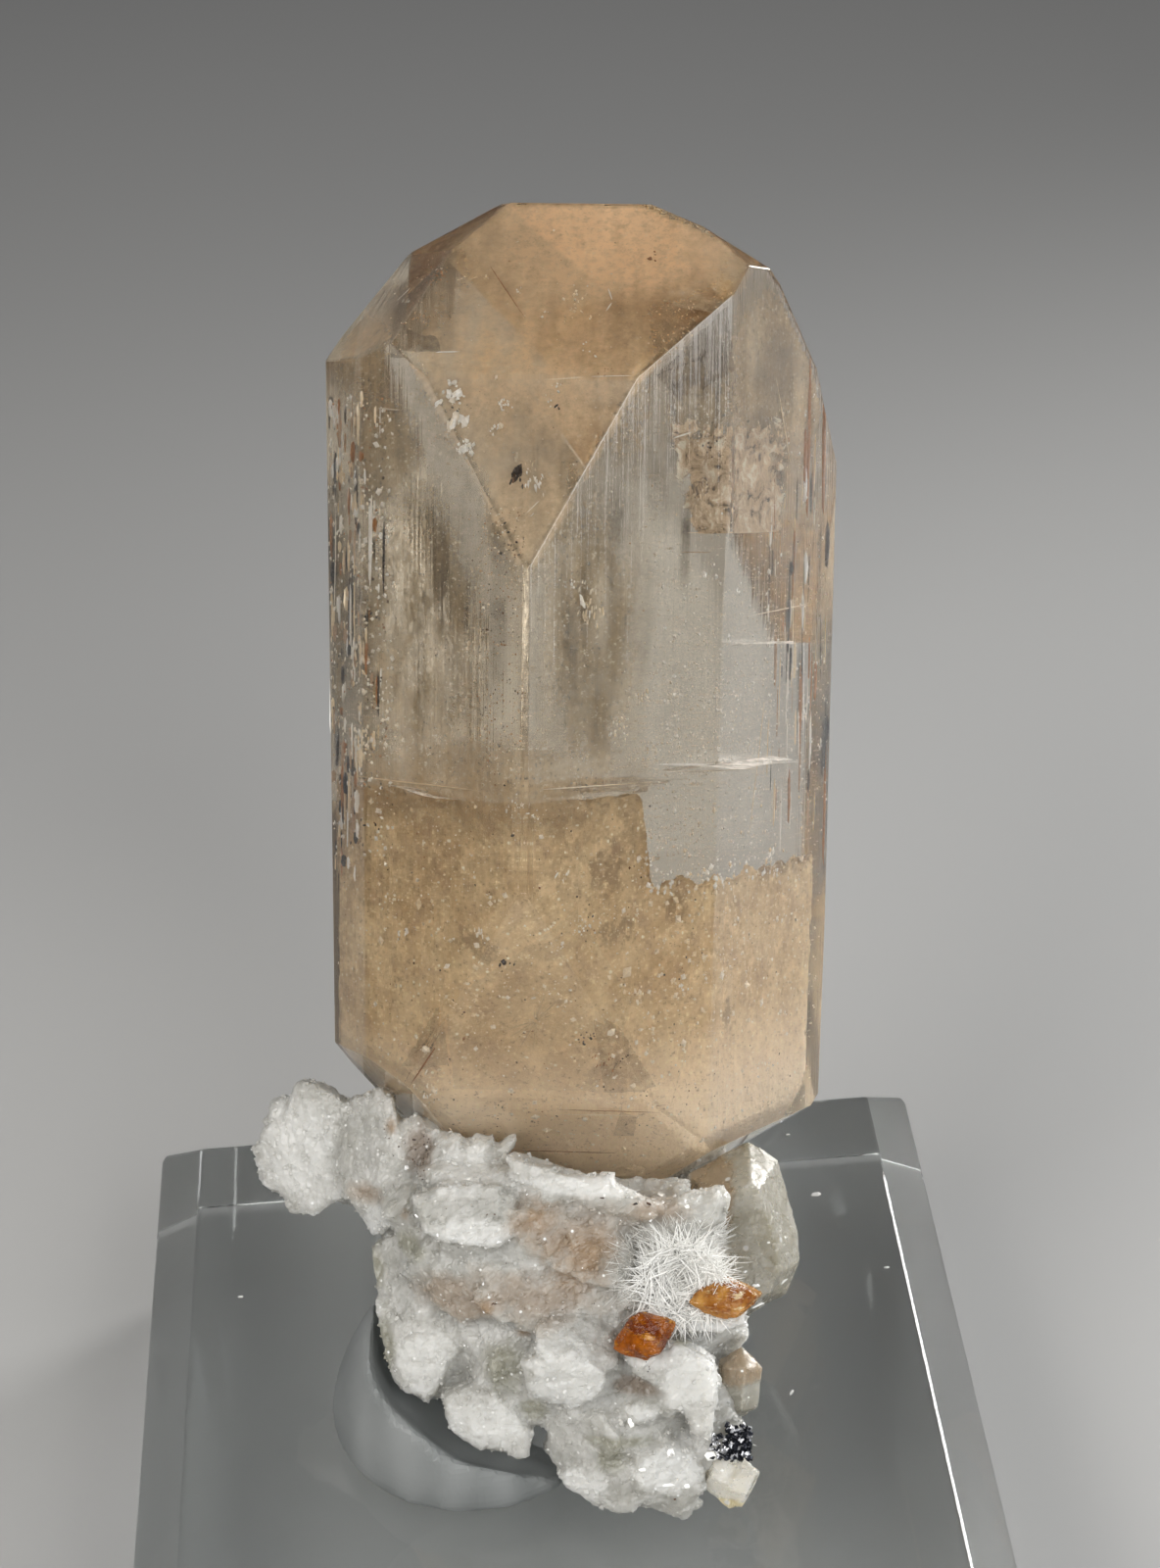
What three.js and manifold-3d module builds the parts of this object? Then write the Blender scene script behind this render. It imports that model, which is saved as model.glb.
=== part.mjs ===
// A topaz crystal on its albite matrix, propped with clear putty on a bevelled acrylic block.
// Millimetres, +Z up. The origin is the middle of the block's underside, and X runs along its rear edge.
// The specimen is built upright in a frame of its own and then leaned back as one group. In that frame
// X is the topaz's a axis (to the right), -Y its b axis (to the front) and Z its c axis.
import * as THREE from 'three';
import { ConvexGeometry } from 'three/addons/geometries/ConvexGeometry.js';
import { mergeVertices } from 'three/addons/utils/BufferGeometryUtils.js';
import Module from 'manifold-3d';

const wasm = await Module();
wasm.setup();

// Driving dimensions
const blockWidth = 38;
const blockDepth = 38;
const blockHeight = 12;
const blockBevel = 2.4;
const blockCorner = 0.4;

const contactGap = 0.3; // air left between two pieces that touch

const leanBack = 28.5; // degrees, the top of the specimen away from the front
const leanRight = 4.8;
const turnLeft = -2.75;
const specimenPlace = [1.75, 18.4, 43.3]; // where the specimen frame's origin stands over the block

const axisRatio = { a: 0.5285, b: 1, c: 0.477 }; // topaz, a : b : c
const narrowing = 1.6; // degrees by which the rear prism faces close in downward

const puttyPlace = [-3.7, -2.3];
const puttyFoot = 6.4;
const puttyHeight = 8.6;
const pressedFrom = new THREE.Vector3(-1, -9, 9); // the side from which the specimen was pushed into it

// Topaz faces: Miller indices, distance from the frame's origin, and how far the face leans in.
const topazFaces = [
  [1, 2, 0, 9.59], [-1, 2, 0, 9.59], [0, 1, 0, 13.06], // front prism and its narrow middle strip
  [1, 1, 0, 9.8, 0.35], [-1, 1, 0, 9.31, 0.3],
  [1, -1, 0, 14.34], [-1, -1, 0, 6.36, narrowing], // rear prism
  [1, -2, 0, 13.41, narrowing], [-1, -2, 0, 4.21, narrowing], [0, -1, 0, 10.2],
  [0, 4, 1, 11.69], [0, 2, 1, 11.95], [0, 0, 1, 15.55], // upper domes and the narrow top
  [0, -4, 1, 7.2], [0, -2, 1, 11.2],
  [2, 2, 3, 16.13], [2, -2, 3, 15.05], [1, -1, 1, 14.85], [2, -2, 1, 14.83], // right shoulder
  [-1, 1, 1, 12.7], [-2, 2, 3, 13.69], [-1, -1, 1, 13.63], [-2, -2, 3, 14.82], // left shoulder
  [0, 4, -1, 17.59], [0, 2, -1, 22], [0, 0, -1, 27.5], [0, -4, -1, 19], [0, -2, -1, 22], // lower end
  [-1, 1, -1, 21.3], [-1, -1, -1, 21], [2, 2, -3, 26.33], [2, -2, -3, 28.5],
];

// Albite: [right, front, up], [half width, half depth, half height], degrees of roll in the front view
const albiteCore = [
  [[2.6, 1.6, -29.2], [8.6, 8.2, 4.4], 0],
  [[4.4, 6.2, -34.8], [5.4, 4.4, 4.6], 12],
  [[-2.2, 4.4, -32.2], [4.4, 4.2, 4.6], -10],
  [[-7.4, 2.6, -26.6], [2.6, 2.2, 2.4], 20],
];
const albiteLumps = [
  [[-10.4, 2, -26.3], [2.05, 1.9, 3.1], -8], // the knob that stands out to the left
  [[-6.5, 5, -28.8], [0.75, 0.8, 1], 0],
  [[-5.6, 5.2, -25.6], [1.7, 1.6, 2.2], 15],
  [[-2.4, 8.7, -25.1], [1.6, 1.3, 1.4], -25],
  [[2.1, 8.9, -26.1], [3.2, 1.1, 0.75], -16], // the ridge under the topaz
  [[-2.1, 8.6, -28.1], [2.2, 1.6, 1.5], 8],
  [[2.5, 9.4, -28.8], [1.6, 1.1, 1.3], 30],
  [[-2.9, 8.2, -30.5], [1.7, 1.3, 1.1], 0],
  [[-5, 5.6, -31.4], [1.6, 1.6, 1.9], 12],
  [[-4.3, 6.9, -34.2], [1.6, 0.8, 1.85], -6], // the rounded plate low on the left
  [[-0.8, 8.4, -33.6], [1.3, 1, 1.6], 0],
  [[1.9, 10.1, -34], [1.85, 1.4, 1.5], 18],
  [[-1.6, 8.2, -36.3], [2, 1.5, 1.45], -5],
  [[7, 10.1, -34.1], [1.6, 1.4, 1.6], 10],
  [[4.9, 9.6, -36.6], [2.1, 1.5, 1.3], -12],
  [[2.6, 9, -38], [1.5, 1.3, 1.1], 0],
  [[6.2, 9.3, -38.7], [2.4, 1.2, 1], 5],
  [[5.2, 9.2, -39.6], [2.9, 1, 0.75], -10],
  [[8.2, 9, -37.2], [1.2, 1.2, 1.5], 0],
  [[7.2, 8.2, -27.4], [2.3, 1.5, 1.4], -20],
  [[5.2, 9.6, -31.1], [2, 1.2, 1.6], 0],
  [[0.6, 9.2, -31.2], [1.9, 1.3, 1.5], 25],
  [[8.9, 7.2, -33], [1.3, 1.6, 1.7], 0],
  [[-4.6, -3.6, -26.8], [2.6, 2.2, 2.2], 20], // the rear side
  [[1.8, -6.4, -27.4], [3.4, 2.2, 2], -10],
  [[7.4, -4, -27.8], [2.6, 2.4, 2.2], 15],
  [[4.2, -2.6, -31.2], [2.8, 2.4, 2], 0],
  [[-3, -0.6, -31], [2.4, 2.2, 2.2], -15],
];
const smallLumps = 16; // knobs scattered over the core
const smallLumpSize = [0.7, 1.3];

// Fans of thin albite blades: centre, blade radius, blades, roll of the whole fan
const bladeFans = [
  [[-11.2, 2.6, -27.4], 1.4, 4, 60],
  [[-7.7, 4.2, -25.3], 1.3, 3, 20],
  [[-2.3, 9.1, -25.1], 1.7, 4, 62],
  [[3.6, 9.7, -39], 1.5, 3, 95],
  [[7.4, 9.5, -39.7], 1.6, 3, 80],
];
const bladeThickness = 0.45;

const sideCrystal = { at: [9.4, 3.6, -29.3], depth: 2.6 };
const sideCrystalOutline = [ // direction in the front view and distance from its middle
  [58, 3.65], [17, 2.55], [4, 2.65], [-22, 3.05], [-58, 3.5], [-120, 3.6], [180, 2.3], [118, 3.4],
];
const garnetSpots = {
  garnet_upper: { at: [8.6, 9.9, -30.5], half: [1.35, 1, 0.8], roll: 8 },
  garnet_lower: { at: [5.2, 10.9, -31.9], half: [1.15, 1, 1], roll: -14 },
};
const sprayPlace = [6.9, 9.3, -29.2];
const sprayCushion = [1.7, 0.8, 1.4];
const sprayReach = 2.6;
const sprayNeedles = 13;
const prismPlace = [9.3, 8.3, -34.8];
const prismHalf = [0.85, 0.8, 1.95];
const chipPlace = [9, 9.3, -38.6];
const chipHalf = [1.1, 0.8, 1];
const grainSpots = [ // the dark metallic grains: place and half size
  [[9.35, 10.1, -36.9], 0.55], [[9.7, 9.9, -36.3], 0.42], [[9.1, 10.2, -37.5], 0.42],
  [[9.75, 9.8, -37.3], 0.36], [[8.9, 10.3, -36.7], 0.34], [[9.2, 10.1, -36.1], 0.36],
];

const colours = {
  topaz: 0xc9a783,
  albite: 0xd9d9d4,
  quartz: 0xcdc5b8,
  garnet: 0xb4641a,
  fibre: 0xf0f0ee,
  grain: 0x1c1f24,
  putty: 0xb9bdbd,
  acrylic: 0xe6ebec,
};

// A steady number from 0 to 1 for each seed
function chance(seed) {
  const wave = Math.sin(seed * 12.9898 + 4.1) * 43758.5453;
  return wave - Math.floor(wave);
}

function between(low, high, seed) {
  return low + (high - low) * chance(seed);
}

// Closed convex solid bounded by planes, each { normal, distance } from a centre
function planeSolid(planes) {
  const corners = [];
  for (let i = 0; i < planes.length; i++) {
    for (let j = i + 1; j < planes.length; j++) {
      const line = new THREE.Vector3().crossVectors(planes[i].normal, planes[j].normal);
      for (let k = j + 1; k < planes.length; k++) {
        const mixed = line.dot(planes[k].normal);
        if (Math.abs(mixed) > 1e-6) addCorner(corners, planes, i, j, k, mixed);
      }
    }
  }
  const positions = [];
  planes.forEach((plane, face) => addFace(positions, plane, corners.filter((corner) => corner.faces.has(face))));
  return weld(positions);
}

function addCorner(corners, planes, i, j, k, mixed) {
  const point = new THREE.Vector3();
  const wedge = new THREE.Vector3();
  point.addScaledVector(wedge.crossVectors(planes[j].normal, planes[k].normal), planes[i].distance);
  point.addScaledVector(wedge.crossVectors(planes[k].normal, planes[i].normal), planes[j].distance);
  point.addScaledVector(wedge.crossVectors(planes[i].normal, planes[j].normal), planes[k].distance);
  point.divideScalar(mixed);
  if (planes.some((plane) => plane.normal.dot(point) > plane.distance + 1e-4)) return;
  let corner = corners.find((known) => known.point.distanceTo(point) < 5e-3);
  if (!corner) {
    corner = { point, faces: new Set() };
    corners.push(corner);
  }
  [i, j, k].forEach((face) => corner.faces.add(face));
}

function addFace(positions, plane, corners) {
  if (corners.length < 3) return;
  const rim = corners.map((corner) => corner.point);
  const middle = new THREE.Vector3();
  rim.forEach((corner) => middle.addScaledVector(corner, 1 / rim.length));
  const across = new THREE.Vector3().subVectors(rim[0], middle).normalize();
  const up = new THREE.Vector3().crossVectors(plane.normal, across);
  const angle = (corner) => {
    const arm = new THREE.Vector3().subVectors(corner, middle);
    return Math.atan2(arm.dot(up), arm.dot(across));
  };
  rim.sort((one, other) => angle(one) - angle(other));
  for (let i = 1; i + 1 < rim.length; i++) {
    positions.push(...rim[0].toArray(), ...rim[i].toArray(), ...rim[i + 1].toArray());
  }
}

function weld(positions) {
  const loose = new THREE.BufferGeometry();
  loose.setAttribute('position', new THREE.Float32BufferAttribute(positions, 3));
  return mergeVertices(loose, 1e-4);
}

function toSolid(geometry) {
  const plain = geometry.clone();
  plain.deleteAttribute('normal');
  plain.deleteAttribute('uv');
  const merged = mergeVertices(plain, 1e-4);
  const vertProperties = new Float32Array(merged.attributes.position.array);
  const triVerts = new Uint32Array(merged.index.array);
  return new wasm.Manifold(new wasm.Mesh({ numProp: 3, vertProperties, triVerts }));
}

// The outer skin of the largest piece, without loose crumbs or pockets sealed inside it
function largestPiece(solid) {
  return solid.decompose().reduce((best, piece) => (piece.volume() > best.volume() ? piece : best));
}

function toGeometry(solid) {
  const mesh = largestPiece(solid).getMesh();
  const geometry = new THREE.BufferGeometry();
  geometry.setAttribute('position', new THREE.BufferAttribute(new Float32Array(mesh.vertProperties), 3));
  geometry.setIndex(new THREE.BufferAttribute(new Uint32Array(mesh.triVerts), 1));
  return geometry;
}

// Puts a shape made around its own middle at [right, front, up]
function put(geometry, [right, front, up], roll = 0, pitch = 0, yaw = 0) {
  const turn = new THREE.Euler(...[pitch, roll, yaw].map(THREE.MathUtils.degToRad));
  const place = new THREE.Matrix4().makeRotationFromEuler(turn).setPosition(right, -front, up);
  return geometry.applyMatrix4(place);
}

function topazGeometry(grow) {
  const planes = topazFaces.map(([h, k, l, distance, lean = 0]) => {
    const normal = new THREE.Vector3(h / axisRatio.a, -k / axisRatio.b, l / axisRatio.c).normalize();
    normal.z -= Math.sin(THREE.MathUtils.degToRad(lean));
    return { normal: normal.normalize(), distance: distance + grow };
  });
  return planeSolid(planes);
}

// A rough crystal: planes spread evenly over all directions, each at a slightly different depth
function lumpGeometry([halfWidth, halfDepth, halfHeight], faces, seed, grow = 0) {
  const golden = Math.PI * (3 - Math.sqrt(5));
  const planes = [];
  for (let i = 0; i < faces; i++) {
    const height = 1 - (2 * i + 1) / faces;
    const around = golden * i + between(-0.35, 0.35, seed + i);
    const ring = Math.sqrt(1 - height * height);
    const normal = new THREE.Vector3(ring * Math.cos(around), ring * Math.sin(around), height);
    const reach = between(0.8, 1, seed + i + 0.5);
    const stretched = new THREE.Vector3(normal.x / halfWidth, normal.y / halfDepth, normal.z / halfHeight);
    const size = stretched.length();
    planes.push({ normal: stretched.divideScalar(size), distance: reach / size + grow });
  }
  return planeSolid(planes);
}

// One thin blade with a ragged six-sided outline, standing on its long axis
function bladeGeometry(radius, seed, grow) {
  const half = bladeThickness / 2 + grow;
  const planes = [1, -1].map((side) => ({ normal: new THREE.Vector3(0, side, 0), distance: half }));
  for (let i = 0; i < 6; i++) {
    const around = THREE.MathUtils.degToRad(60 * i + between(-14, 14, seed + i));
    const normal = new THREE.Vector3(Math.cos(around), between(-0.25, 0.25, seed + i + 9), Math.sin(around));
    const reach = radius * between(0.75, 1, seed + i + 20) * (i % 3 === 0 ? 0.7 : 1);
    planes.push({ normal: normal.normalize(), distance: reach + grow });
  }
  return planeSolid(planes);
}

function bladeFanSolids([place, radius, blades, roll], index, grow) {
  const solids = [];
  for (let i = 0; i < blades; i++) {
    const seed = 300 + index * 40 + i * 5;
    const spread = -38 + (76 * i) / (blades - 1);
    const size = radius * between(0.8, 1.1, seed);
    const [right, front, up] = place;
    const shift = [right + between(-0.4, 0.4, seed + 1), front, up + between(-0.4, 0.4, seed + 2)];
    const blade = bladeGeometry(size, seed, grow);
    solids.push(toSolid(put(blade, shift, roll + between(-12, 12, seed + 3), 12, 90 + spread)));
  }
  return solids;
}

// Small knobs over the sides and front of the core, further apart where the core is larger
function scatteredLumpSolids(grow) {
  const solids = [];
  for (let i = 0; i < smallLumps; i++) {
    const seed = 700 + i * 7;
    const [middle, half] = albiteCore[i % 3];
    const around = between(-0.15, 1.15, seed) * Math.PI;
    const height = between(-0.8, 0.55, seed + 1);
    const ring = 0.93 * Math.sqrt(1 - height * height);
    const place = [
      middle[0] + half[0] * ring * Math.cos(around),
      middle[1] + half[1] * ring * Math.sin(around),
      middle[2] + half[2] * height,
    ];
    const size = between(...smallLumpSize, seed + 2);
    const half3 = [size, size * between(0.7, 1, seed + 3), size * between(0.8, 1.2, seed + 4)];
    solids.push(toSolid(put(lumpGeometry(half3, 11, seed, grow), place, between(-40, 40, seed + 5))));
  }
  return solids;
}

function matrixSolid(grow) {
  const solids = [];
  albiteCore.forEach(([place, half, roll], index) => {
    solids.push(toSolid(put(lumpGeometry(half, 22, 11 + index * 31, grow), place, roll)));
  });
  albiteLumps.forEach(([place, half, roll], index) => {
    const [pitch, yaw] = [between(-20, 20, index + 90), between(-25, 25, index + 140)];
    solids.push(toSolid(put(lumpGeometry(half, 14, 130 + index * 17, grow), place, roll, pitch, yaw)));
  });
  bladeFans.forEach((fan, index) => solids.push(...bladeFanSolids(fan, index, grow)));
  solids.push(...scatteredLumpSolids(grow));
  return wasm.Manifold.union(solids);
}

function sideCrystalGeometry(grow) {
  const planes = [1, -1].map((side) => ({ normal: new THREE.Vector3(0, side, 0), distance: sideCrystal.depth }));
  for (const [direction, distance] of sideCrystalOutline) {
    const angle = THREE.MathUtils.degToRad(direction);
    for (const slant of [0.42, -0.42]) {
      const normal = new THREE.Vector3(Math.cos(angle), slant, Math.sin(angle)).normalize();
      planes.push({ normal, distance: distance * normal.x / Math.cos(angle) });
    }
  }
  planes.forEach((plane) => { plane.distance += grow; });
  return put(planeSolid(planes), sideCrystal.at);
}

// Garnet habit: the twelve dodecahedron faces, with the trapezohedron cutting their corners
function garnetGeometry({ at, half, roll }, grow) {
  const planes = [];
  for (const first of [-1, 0, 1]) {
    for (const second of [-1, 0, 1]) {
      for (const third of [-1, 0, 1]) {
        const count = Math.abs(first) + Math.abs(second) + Math.abs(third);
        if (count < 2) continue;
        const normal = new THREE.Vector3(first / half[0], second / half[1], third / half[2]);
        const size = normal.length();
        const reach = count === 2 ? 1.28 : 1.52;
        planes.push({ normal: normal.divideScalar(size), distance: reach / size + grow });
      }
    }
  }
  return put(planeSolid(planes), at, roll, 25, 20);
}

// A six-sided prism with a point at each end
function prismGeometry([halfWidth, halfDepth, halfHeight], grow) {
  const planes = [];
  for (let i = 0; i < 6; i++) {
    const around = THREE.MathUtils.degToRad(60 * i + 10);
    for (const [slope, reach] of [[0, 1], [1.1, 1.95], [-1.1, 1.75]]) {
      const normal = new THREE.Vector3(Math.cos(around) / halfWidth, Math.sin(around) / halfDepth, slope / halfWidth);
      const size = normal.length();
      const end = slope === 0 ? reach : reach * halfHeight / (2 * halfWidth);
      planes.push({ normal: normal.divideScalar(size), distance: end / size + grow });
    }
  }
  return planeSolid(planes);
}

// White needles that radiate from one point over a low cushion
function spraySolid(grow) {
  const solids = [toSolid(put(lumpGeometry(sprayCushion, 14, 512, grow), sprayPlace))];
  for (let i = 0; i < sprayNeedles; i++) {
    const length = sprayReach * between(0.75, 1, i + 40);
    const needle = new THREE.CylinderGeometry(0.1 + grow, 0.3 + grow, length, 5);
    needle.translate(0, length / 2, 0);
    const around = THREE.MathUtils.degToRad((360 * i) / sprayNeedles + between(-9, 9, i + 60));
    const lift = THREE.MathUtils.degToRad(between(8, 40, i + 80));
    const along = new THREE.Vector3(Math.cos(around) * Math.cos(lift), -Math.sin(lift), Math.sin(around) * Math.cos(lift));
    needle.applyQuaternion(new THREE.Quaternion().setFromUnitVectors(new THREE.Vector3(0, 1, 0), along));
    solids.push(toSolid(put(needle, sprayPlace)));
  }
  return wasm.Manifold.union(solids);
}

function grainSolid(grow) {
  const solids = grainSpots.map(([place, half], index) => {
    const sizes = [half, half * 0.9, half];
    return toSolid(put(lumpGeometry(sizes, 9, 950 + index * 13, grow), place, 20 * index, 15, 30 * index));
  });
  return wasm.Manifold.union(solids);
}

function blockGeometry() {
  const planes = [
    { normal: new THREE.Vector3(0, 0, 1), distance: blockHeight },
    { normal: new THREE.Vector3(0, 0, -1), distance: 0 },
  ];
  for (const side of [1, -1]) {
    planes.push({ normal: new THREE.Vector3(side, 0, 0), distance: blockWidth / 2 });
    planes.push({ normal: new THREE.Vector3(0, side, 0), distance: blockDepth / 2 });
    const acrossX = new THREE.Vector3(side, 0, 1).normalize();
    const acrossY = new THREE.Vector3(0, side, 1).normalize();
    planes.push({ normal: acrossX, distance: (blockWidth / 2 + blockHeight - blockBevel) / Math.SQRT2 });
    planes.push({ normal: acrossY, distance: (blockDepth / 2 + blockHeight - blockBevel) / Math.SQRT2 });
    for (const other of [1, -1]) {
      const corner = new THREE.Vector3(side, other, 0).normalize();
      const reach = (blockWidth + blockDepth) / 2 - blockCorner;
      planes.push({ normal: corner, distance: reach / Math.SQRT2 });
    }
  }
  return planeSolid(planes);
}

// A pressed-down mound of putty, still whole
function moundGeometry() {
  const profile = [new THREE.Vector2(0, 0), new THREE.Vector2(puttyFoot * 0.98, 0)];
  const rings = 8;
  for (let i = 0; i < rings; i++) {
    const height = i / rings;
    const radius = puttyFoot * Math.pow(1 - Math.pow(height, 1.4), 0.6);
    profile.push(new THREE.Vector2(radius, 0.4 + (puttyHeight - 0.4) * height));
  }
  profile.push(new THREE.Vector2(0, puttyHeight));
  const mound = new THREE.LatheGeometry(profile, 24);
  mound.rotateX(Math.PI / 2);
  mound.translate(puttyPlace[0], puttyPlace[1], blockHeight + contactGap);
  return mound;
}

// The mound with one smooth dent where the specimen pushes into it
function puttySolid(pressed) {
  const mound = toSolid(moundGeometry());
  const touched = toGeometry(mound.intersect(pressed)).attributes.position;
  const dent = [];
  for (let i = 0; i < touched.count; i++) {
    const point = new THREE.Vector3().fromBufferAttribute(touched, i);
    dent.push(point, point.clone().add(pressedFrom));
  }
  return mound.subtract(toSolid(new ConvexGeometry(dent)));
}

function material(name, roughness, metalness = 0, opacity = 1) {
  return new THREE.MeshStandardMaterial({
    color: colours[name], roughness, metalness, opacity, transparent: opacity < 1,
  });
}

function addPiece(parent, name, geometry, finish) {
  const mesh = new THREE.Mesh(geometry, finish);
  mesh.name = name;
  parent.add(mesh);
}

// The specimen frame's place over the block
const specimen = new THREE.Group();
specimen.position.set(...specimenPlace);
specimen.rotation.set(...[-leanBack, leanRight, turnLeft].map(THREE.MathUtils.degToRad));
specimen.updateMatrix();

// Everything below the top of the block, seen from the specimen frame
function groundSolid() {
  const slab = new THREE.BoxGeometry(120, 120, 40);
  slab.translate(0, 0, blockHeight + contactGap - 20);
  return toSolid(slab.applyMatrix4(specimen.matrix.clone().invert()));
}

const topaz = topazGeometry(0);
const topazRoom = toSolid(topazGeometry(contactGap));
const sideRoom = toSolid(sideCrystalGeometry(contactGap));
const prismAt = (grow) => put(prismGeometry(prismHalf, grow), prismPlace, 4);
const chipAt = (grow) => put(lumpGeometry(chipHalf, 10, 77, grow), chipPlace, 15);
const ground = groundSolid();

const garnets = Object.entries(garnetSpots).map(([name, spot]) => ({
  name,
  solid: toSolid(garnetGeometry(spot, 0)).subtract(topazRoom),
  room: toSolid(garnetGeometry(spot, contactGap)),
}));
const garnetRoom = wasm.Manifold.union(garnets.map((garnet) => garnet.room));
const side = toSolid(sideCrystalGeometry(0)).subtract(topazRoom).subtract(garnetRoom);
const grains = grainSolid(0);
const grainRoom = grainSolid(contactGap);
const prism = toSolid(prismAt(0)).subtract(sideRoom).subtract(grainRoom).subtract(garnetRoom);
const prismRoom = toSolid(prismAt(contactGap));
const chip = toSolid(chipAt(0)).subtract(grainRoom).subtract(prismRoom).subtract(ground);
const chipRoom = toSolid(chipAt(contactGap));
const spray = spraySolid(0).subtract(topazRoom).subtract(garnetRoom).subtract(sideRoom).subtract(prismRoom);
const sprayRoom = spraySolid(contactGap);
const matrixRooms = [topazRoom, sideRoom, garnetRoom, grainRoom, prismRoom, chipRoom, sprayRoom, ground];
const matrix = matrixRooms.reduce((rock, room) => rock.subtract(room), matrixSolid(0));

// The putty keeps the gap to everything that presses into it
const specimenRoom = matrixSolid(contactGap).add(topazRoom).add(sideRoom);
const pressed = toGeometry(specimenRoom).applyMatrix4(specimen.matrix);
const putty = puttySolid(toSolid(pressed));

addPiece(specimen, 'topaz_crystal', topaz, material('topaz', 0.06, 0, 0.75));
addPiece(specimen, 'albite_matrix', toGeometry(matrix), material('albite', 0.55));
addPiece(specimen, 'side_quartz', toGeometry(side), material('quartz', 0.2, 0, 0.8));
for (const garnet of garnets) {
  addPiece(specimen, garnet.name, toGeometry(garnet.solid), material('garnet', 0.15));
}
addPiece(specimen, 'fibre_spray', toGeometry(spray), material('fibre', 0.7));
addPiece(specimen, 'dark_grains', toGeometry(grains), material('grain', 0.3, 0.8));
addPiece(specimen, 'quartz_prism', toGeometry(prism), material('quartz', 0.15, 0, 0.7));
addPiece(specimen, 'quartz_chip', toGeometry(chip), material('quartz', 0.15, 0, 0.7));

const group = new THREE.Group();
group.add(specimen);
addPiece(group, 'mounting_putty', toGeometry(putty), material('putty', 0.45, 0, 0.9));
addPiece(group, 'display_block', blockGeometry(), material('acrylic', 0.05, 0, 0.3));

export default group;
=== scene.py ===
import math

import bmesh
import bpy
import numpy as np
from mathutils import Matrix, Vector, noise


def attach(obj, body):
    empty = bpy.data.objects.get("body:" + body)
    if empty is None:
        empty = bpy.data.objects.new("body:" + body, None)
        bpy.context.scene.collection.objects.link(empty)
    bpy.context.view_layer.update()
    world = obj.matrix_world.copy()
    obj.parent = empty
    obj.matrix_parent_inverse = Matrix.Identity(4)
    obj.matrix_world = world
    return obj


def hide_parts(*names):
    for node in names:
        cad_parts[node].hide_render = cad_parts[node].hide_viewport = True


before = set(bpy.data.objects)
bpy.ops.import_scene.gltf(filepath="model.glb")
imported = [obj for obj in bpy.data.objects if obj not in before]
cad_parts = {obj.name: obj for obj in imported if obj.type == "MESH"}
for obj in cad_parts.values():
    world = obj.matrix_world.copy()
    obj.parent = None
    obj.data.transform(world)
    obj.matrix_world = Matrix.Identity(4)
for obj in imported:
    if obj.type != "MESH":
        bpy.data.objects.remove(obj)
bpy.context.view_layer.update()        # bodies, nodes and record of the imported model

millimetre = 0.001
fullTurn = 6.3           # a little over one turn, for random rolls
wallGap = 0.12           # flaws keep this far in from the topaz's faces, in mm

# Where the specimen stands over the block; its own axes are right, front and up along the topaz
specimenPose = {
    "leanBack": 28.5,
    "leanRight": 4.8,
    "turnLeft": -2.75,
    "place": (1.75, 18.4, 43.3),
}


def specimenMatrix():
    turn = Matrix.Rotation(math.radians(-specimenPose["leanBack"]), 4, "X")
    turn = turn @ Matrix.Rotation(math.radians(specimenPose["leanRight"]), 4, "Y")
    turn = turn @ Matrix.Rotation(math.radians(specimenPose["turnLeft"]), 4, "Z")
    return Matrix.Translation(Vector(specimenPose["place"]) * millimetre) @ turn


specimen = specimenMatrix()


def spot(right, front, up):
    # a place on the specimen, given in millimetres along its own axes
    return Vector((right, -front, up)) * millimetre


def addObject(name, data):
    thing = bpy.data.objects.new(name, data)
    bpy.context.scene.collection.objects.link(thing)
    return thing


def addPiece(name, mesh, material, node=None, onSpecimen=True):
    piece = addObject(name, mesh)
    if onSpecimen:
        mesh.transform(specimen)
    mesh.materials.clear()
    mesh.materials.append(material)
    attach(piece, "root")
    if node:
        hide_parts(node)
    return piece


def asMesh(name, corners, faces):
    mesh = bpy.data.meshes.new(name)
    mesh.from_pydata([tuple(corner) for corner in corners], [], [tuple(face) for face in faces])
    mesh.update()
    return mesh


def nodeMesh(node, onSpecimen=True):
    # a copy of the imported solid, in the specimen's own axes
    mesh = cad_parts[node].data.copy()
    if onSpecimen:
        mesh.transform(specimen.inverted())
    return mesh


def opened(mesh):
    solid = bmesh.new()
    solid.from_mesh(mesh)
    return solid


def closed(solid, mesh):
    solid.to_mesh(mesh)
    solid.free()
    mesh.update()
    return mesh


def cleanSolid(mesh, bevel=0.0):
    # merged corners, whole flat faces and, if asked, narrow rounded edges
    solid = opened(mesh)
    bmesh.ops.remove_doubles(solid, verts=solid.verts, dist=1e-6)
    bmesh.ops.dissolve_limit(solid, angle_limit=math.radians(1.0), verts=solid.verts, edges=solid.edges)
    if bevel > 0:
        bmesh.ops.bevel(solid, geom=solid.edges[:], offset=bevel, segments=2, affect="EDGES", profile=0.5,
                        clamp_overlap=True)
    bmesh.ops.recalc_face_normals(solid, faces=solid.faces)
    return closed(solid, mesh)


def remeshed(mesh, voxel):
    # one closed skin around everything in the mesh; the voxel is in mm
    carrier = addObject("carrier", mesh)
    remesh = carrier.modifiers.new("Remesh", "REMESH")
    remesh.mode = "VOXEL"
    remesh.voxel_size = voxel * millimetre
    remesh.adaptivity = 0
    bpy.context.view_layer.update()
    result = bpy.data.meshes.new_from_object(carrier.evaluated_get(bpy.context.evaluated_depsgraph_get()))
    bpy.data.objects.remove(carrier)
    return result


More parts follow.
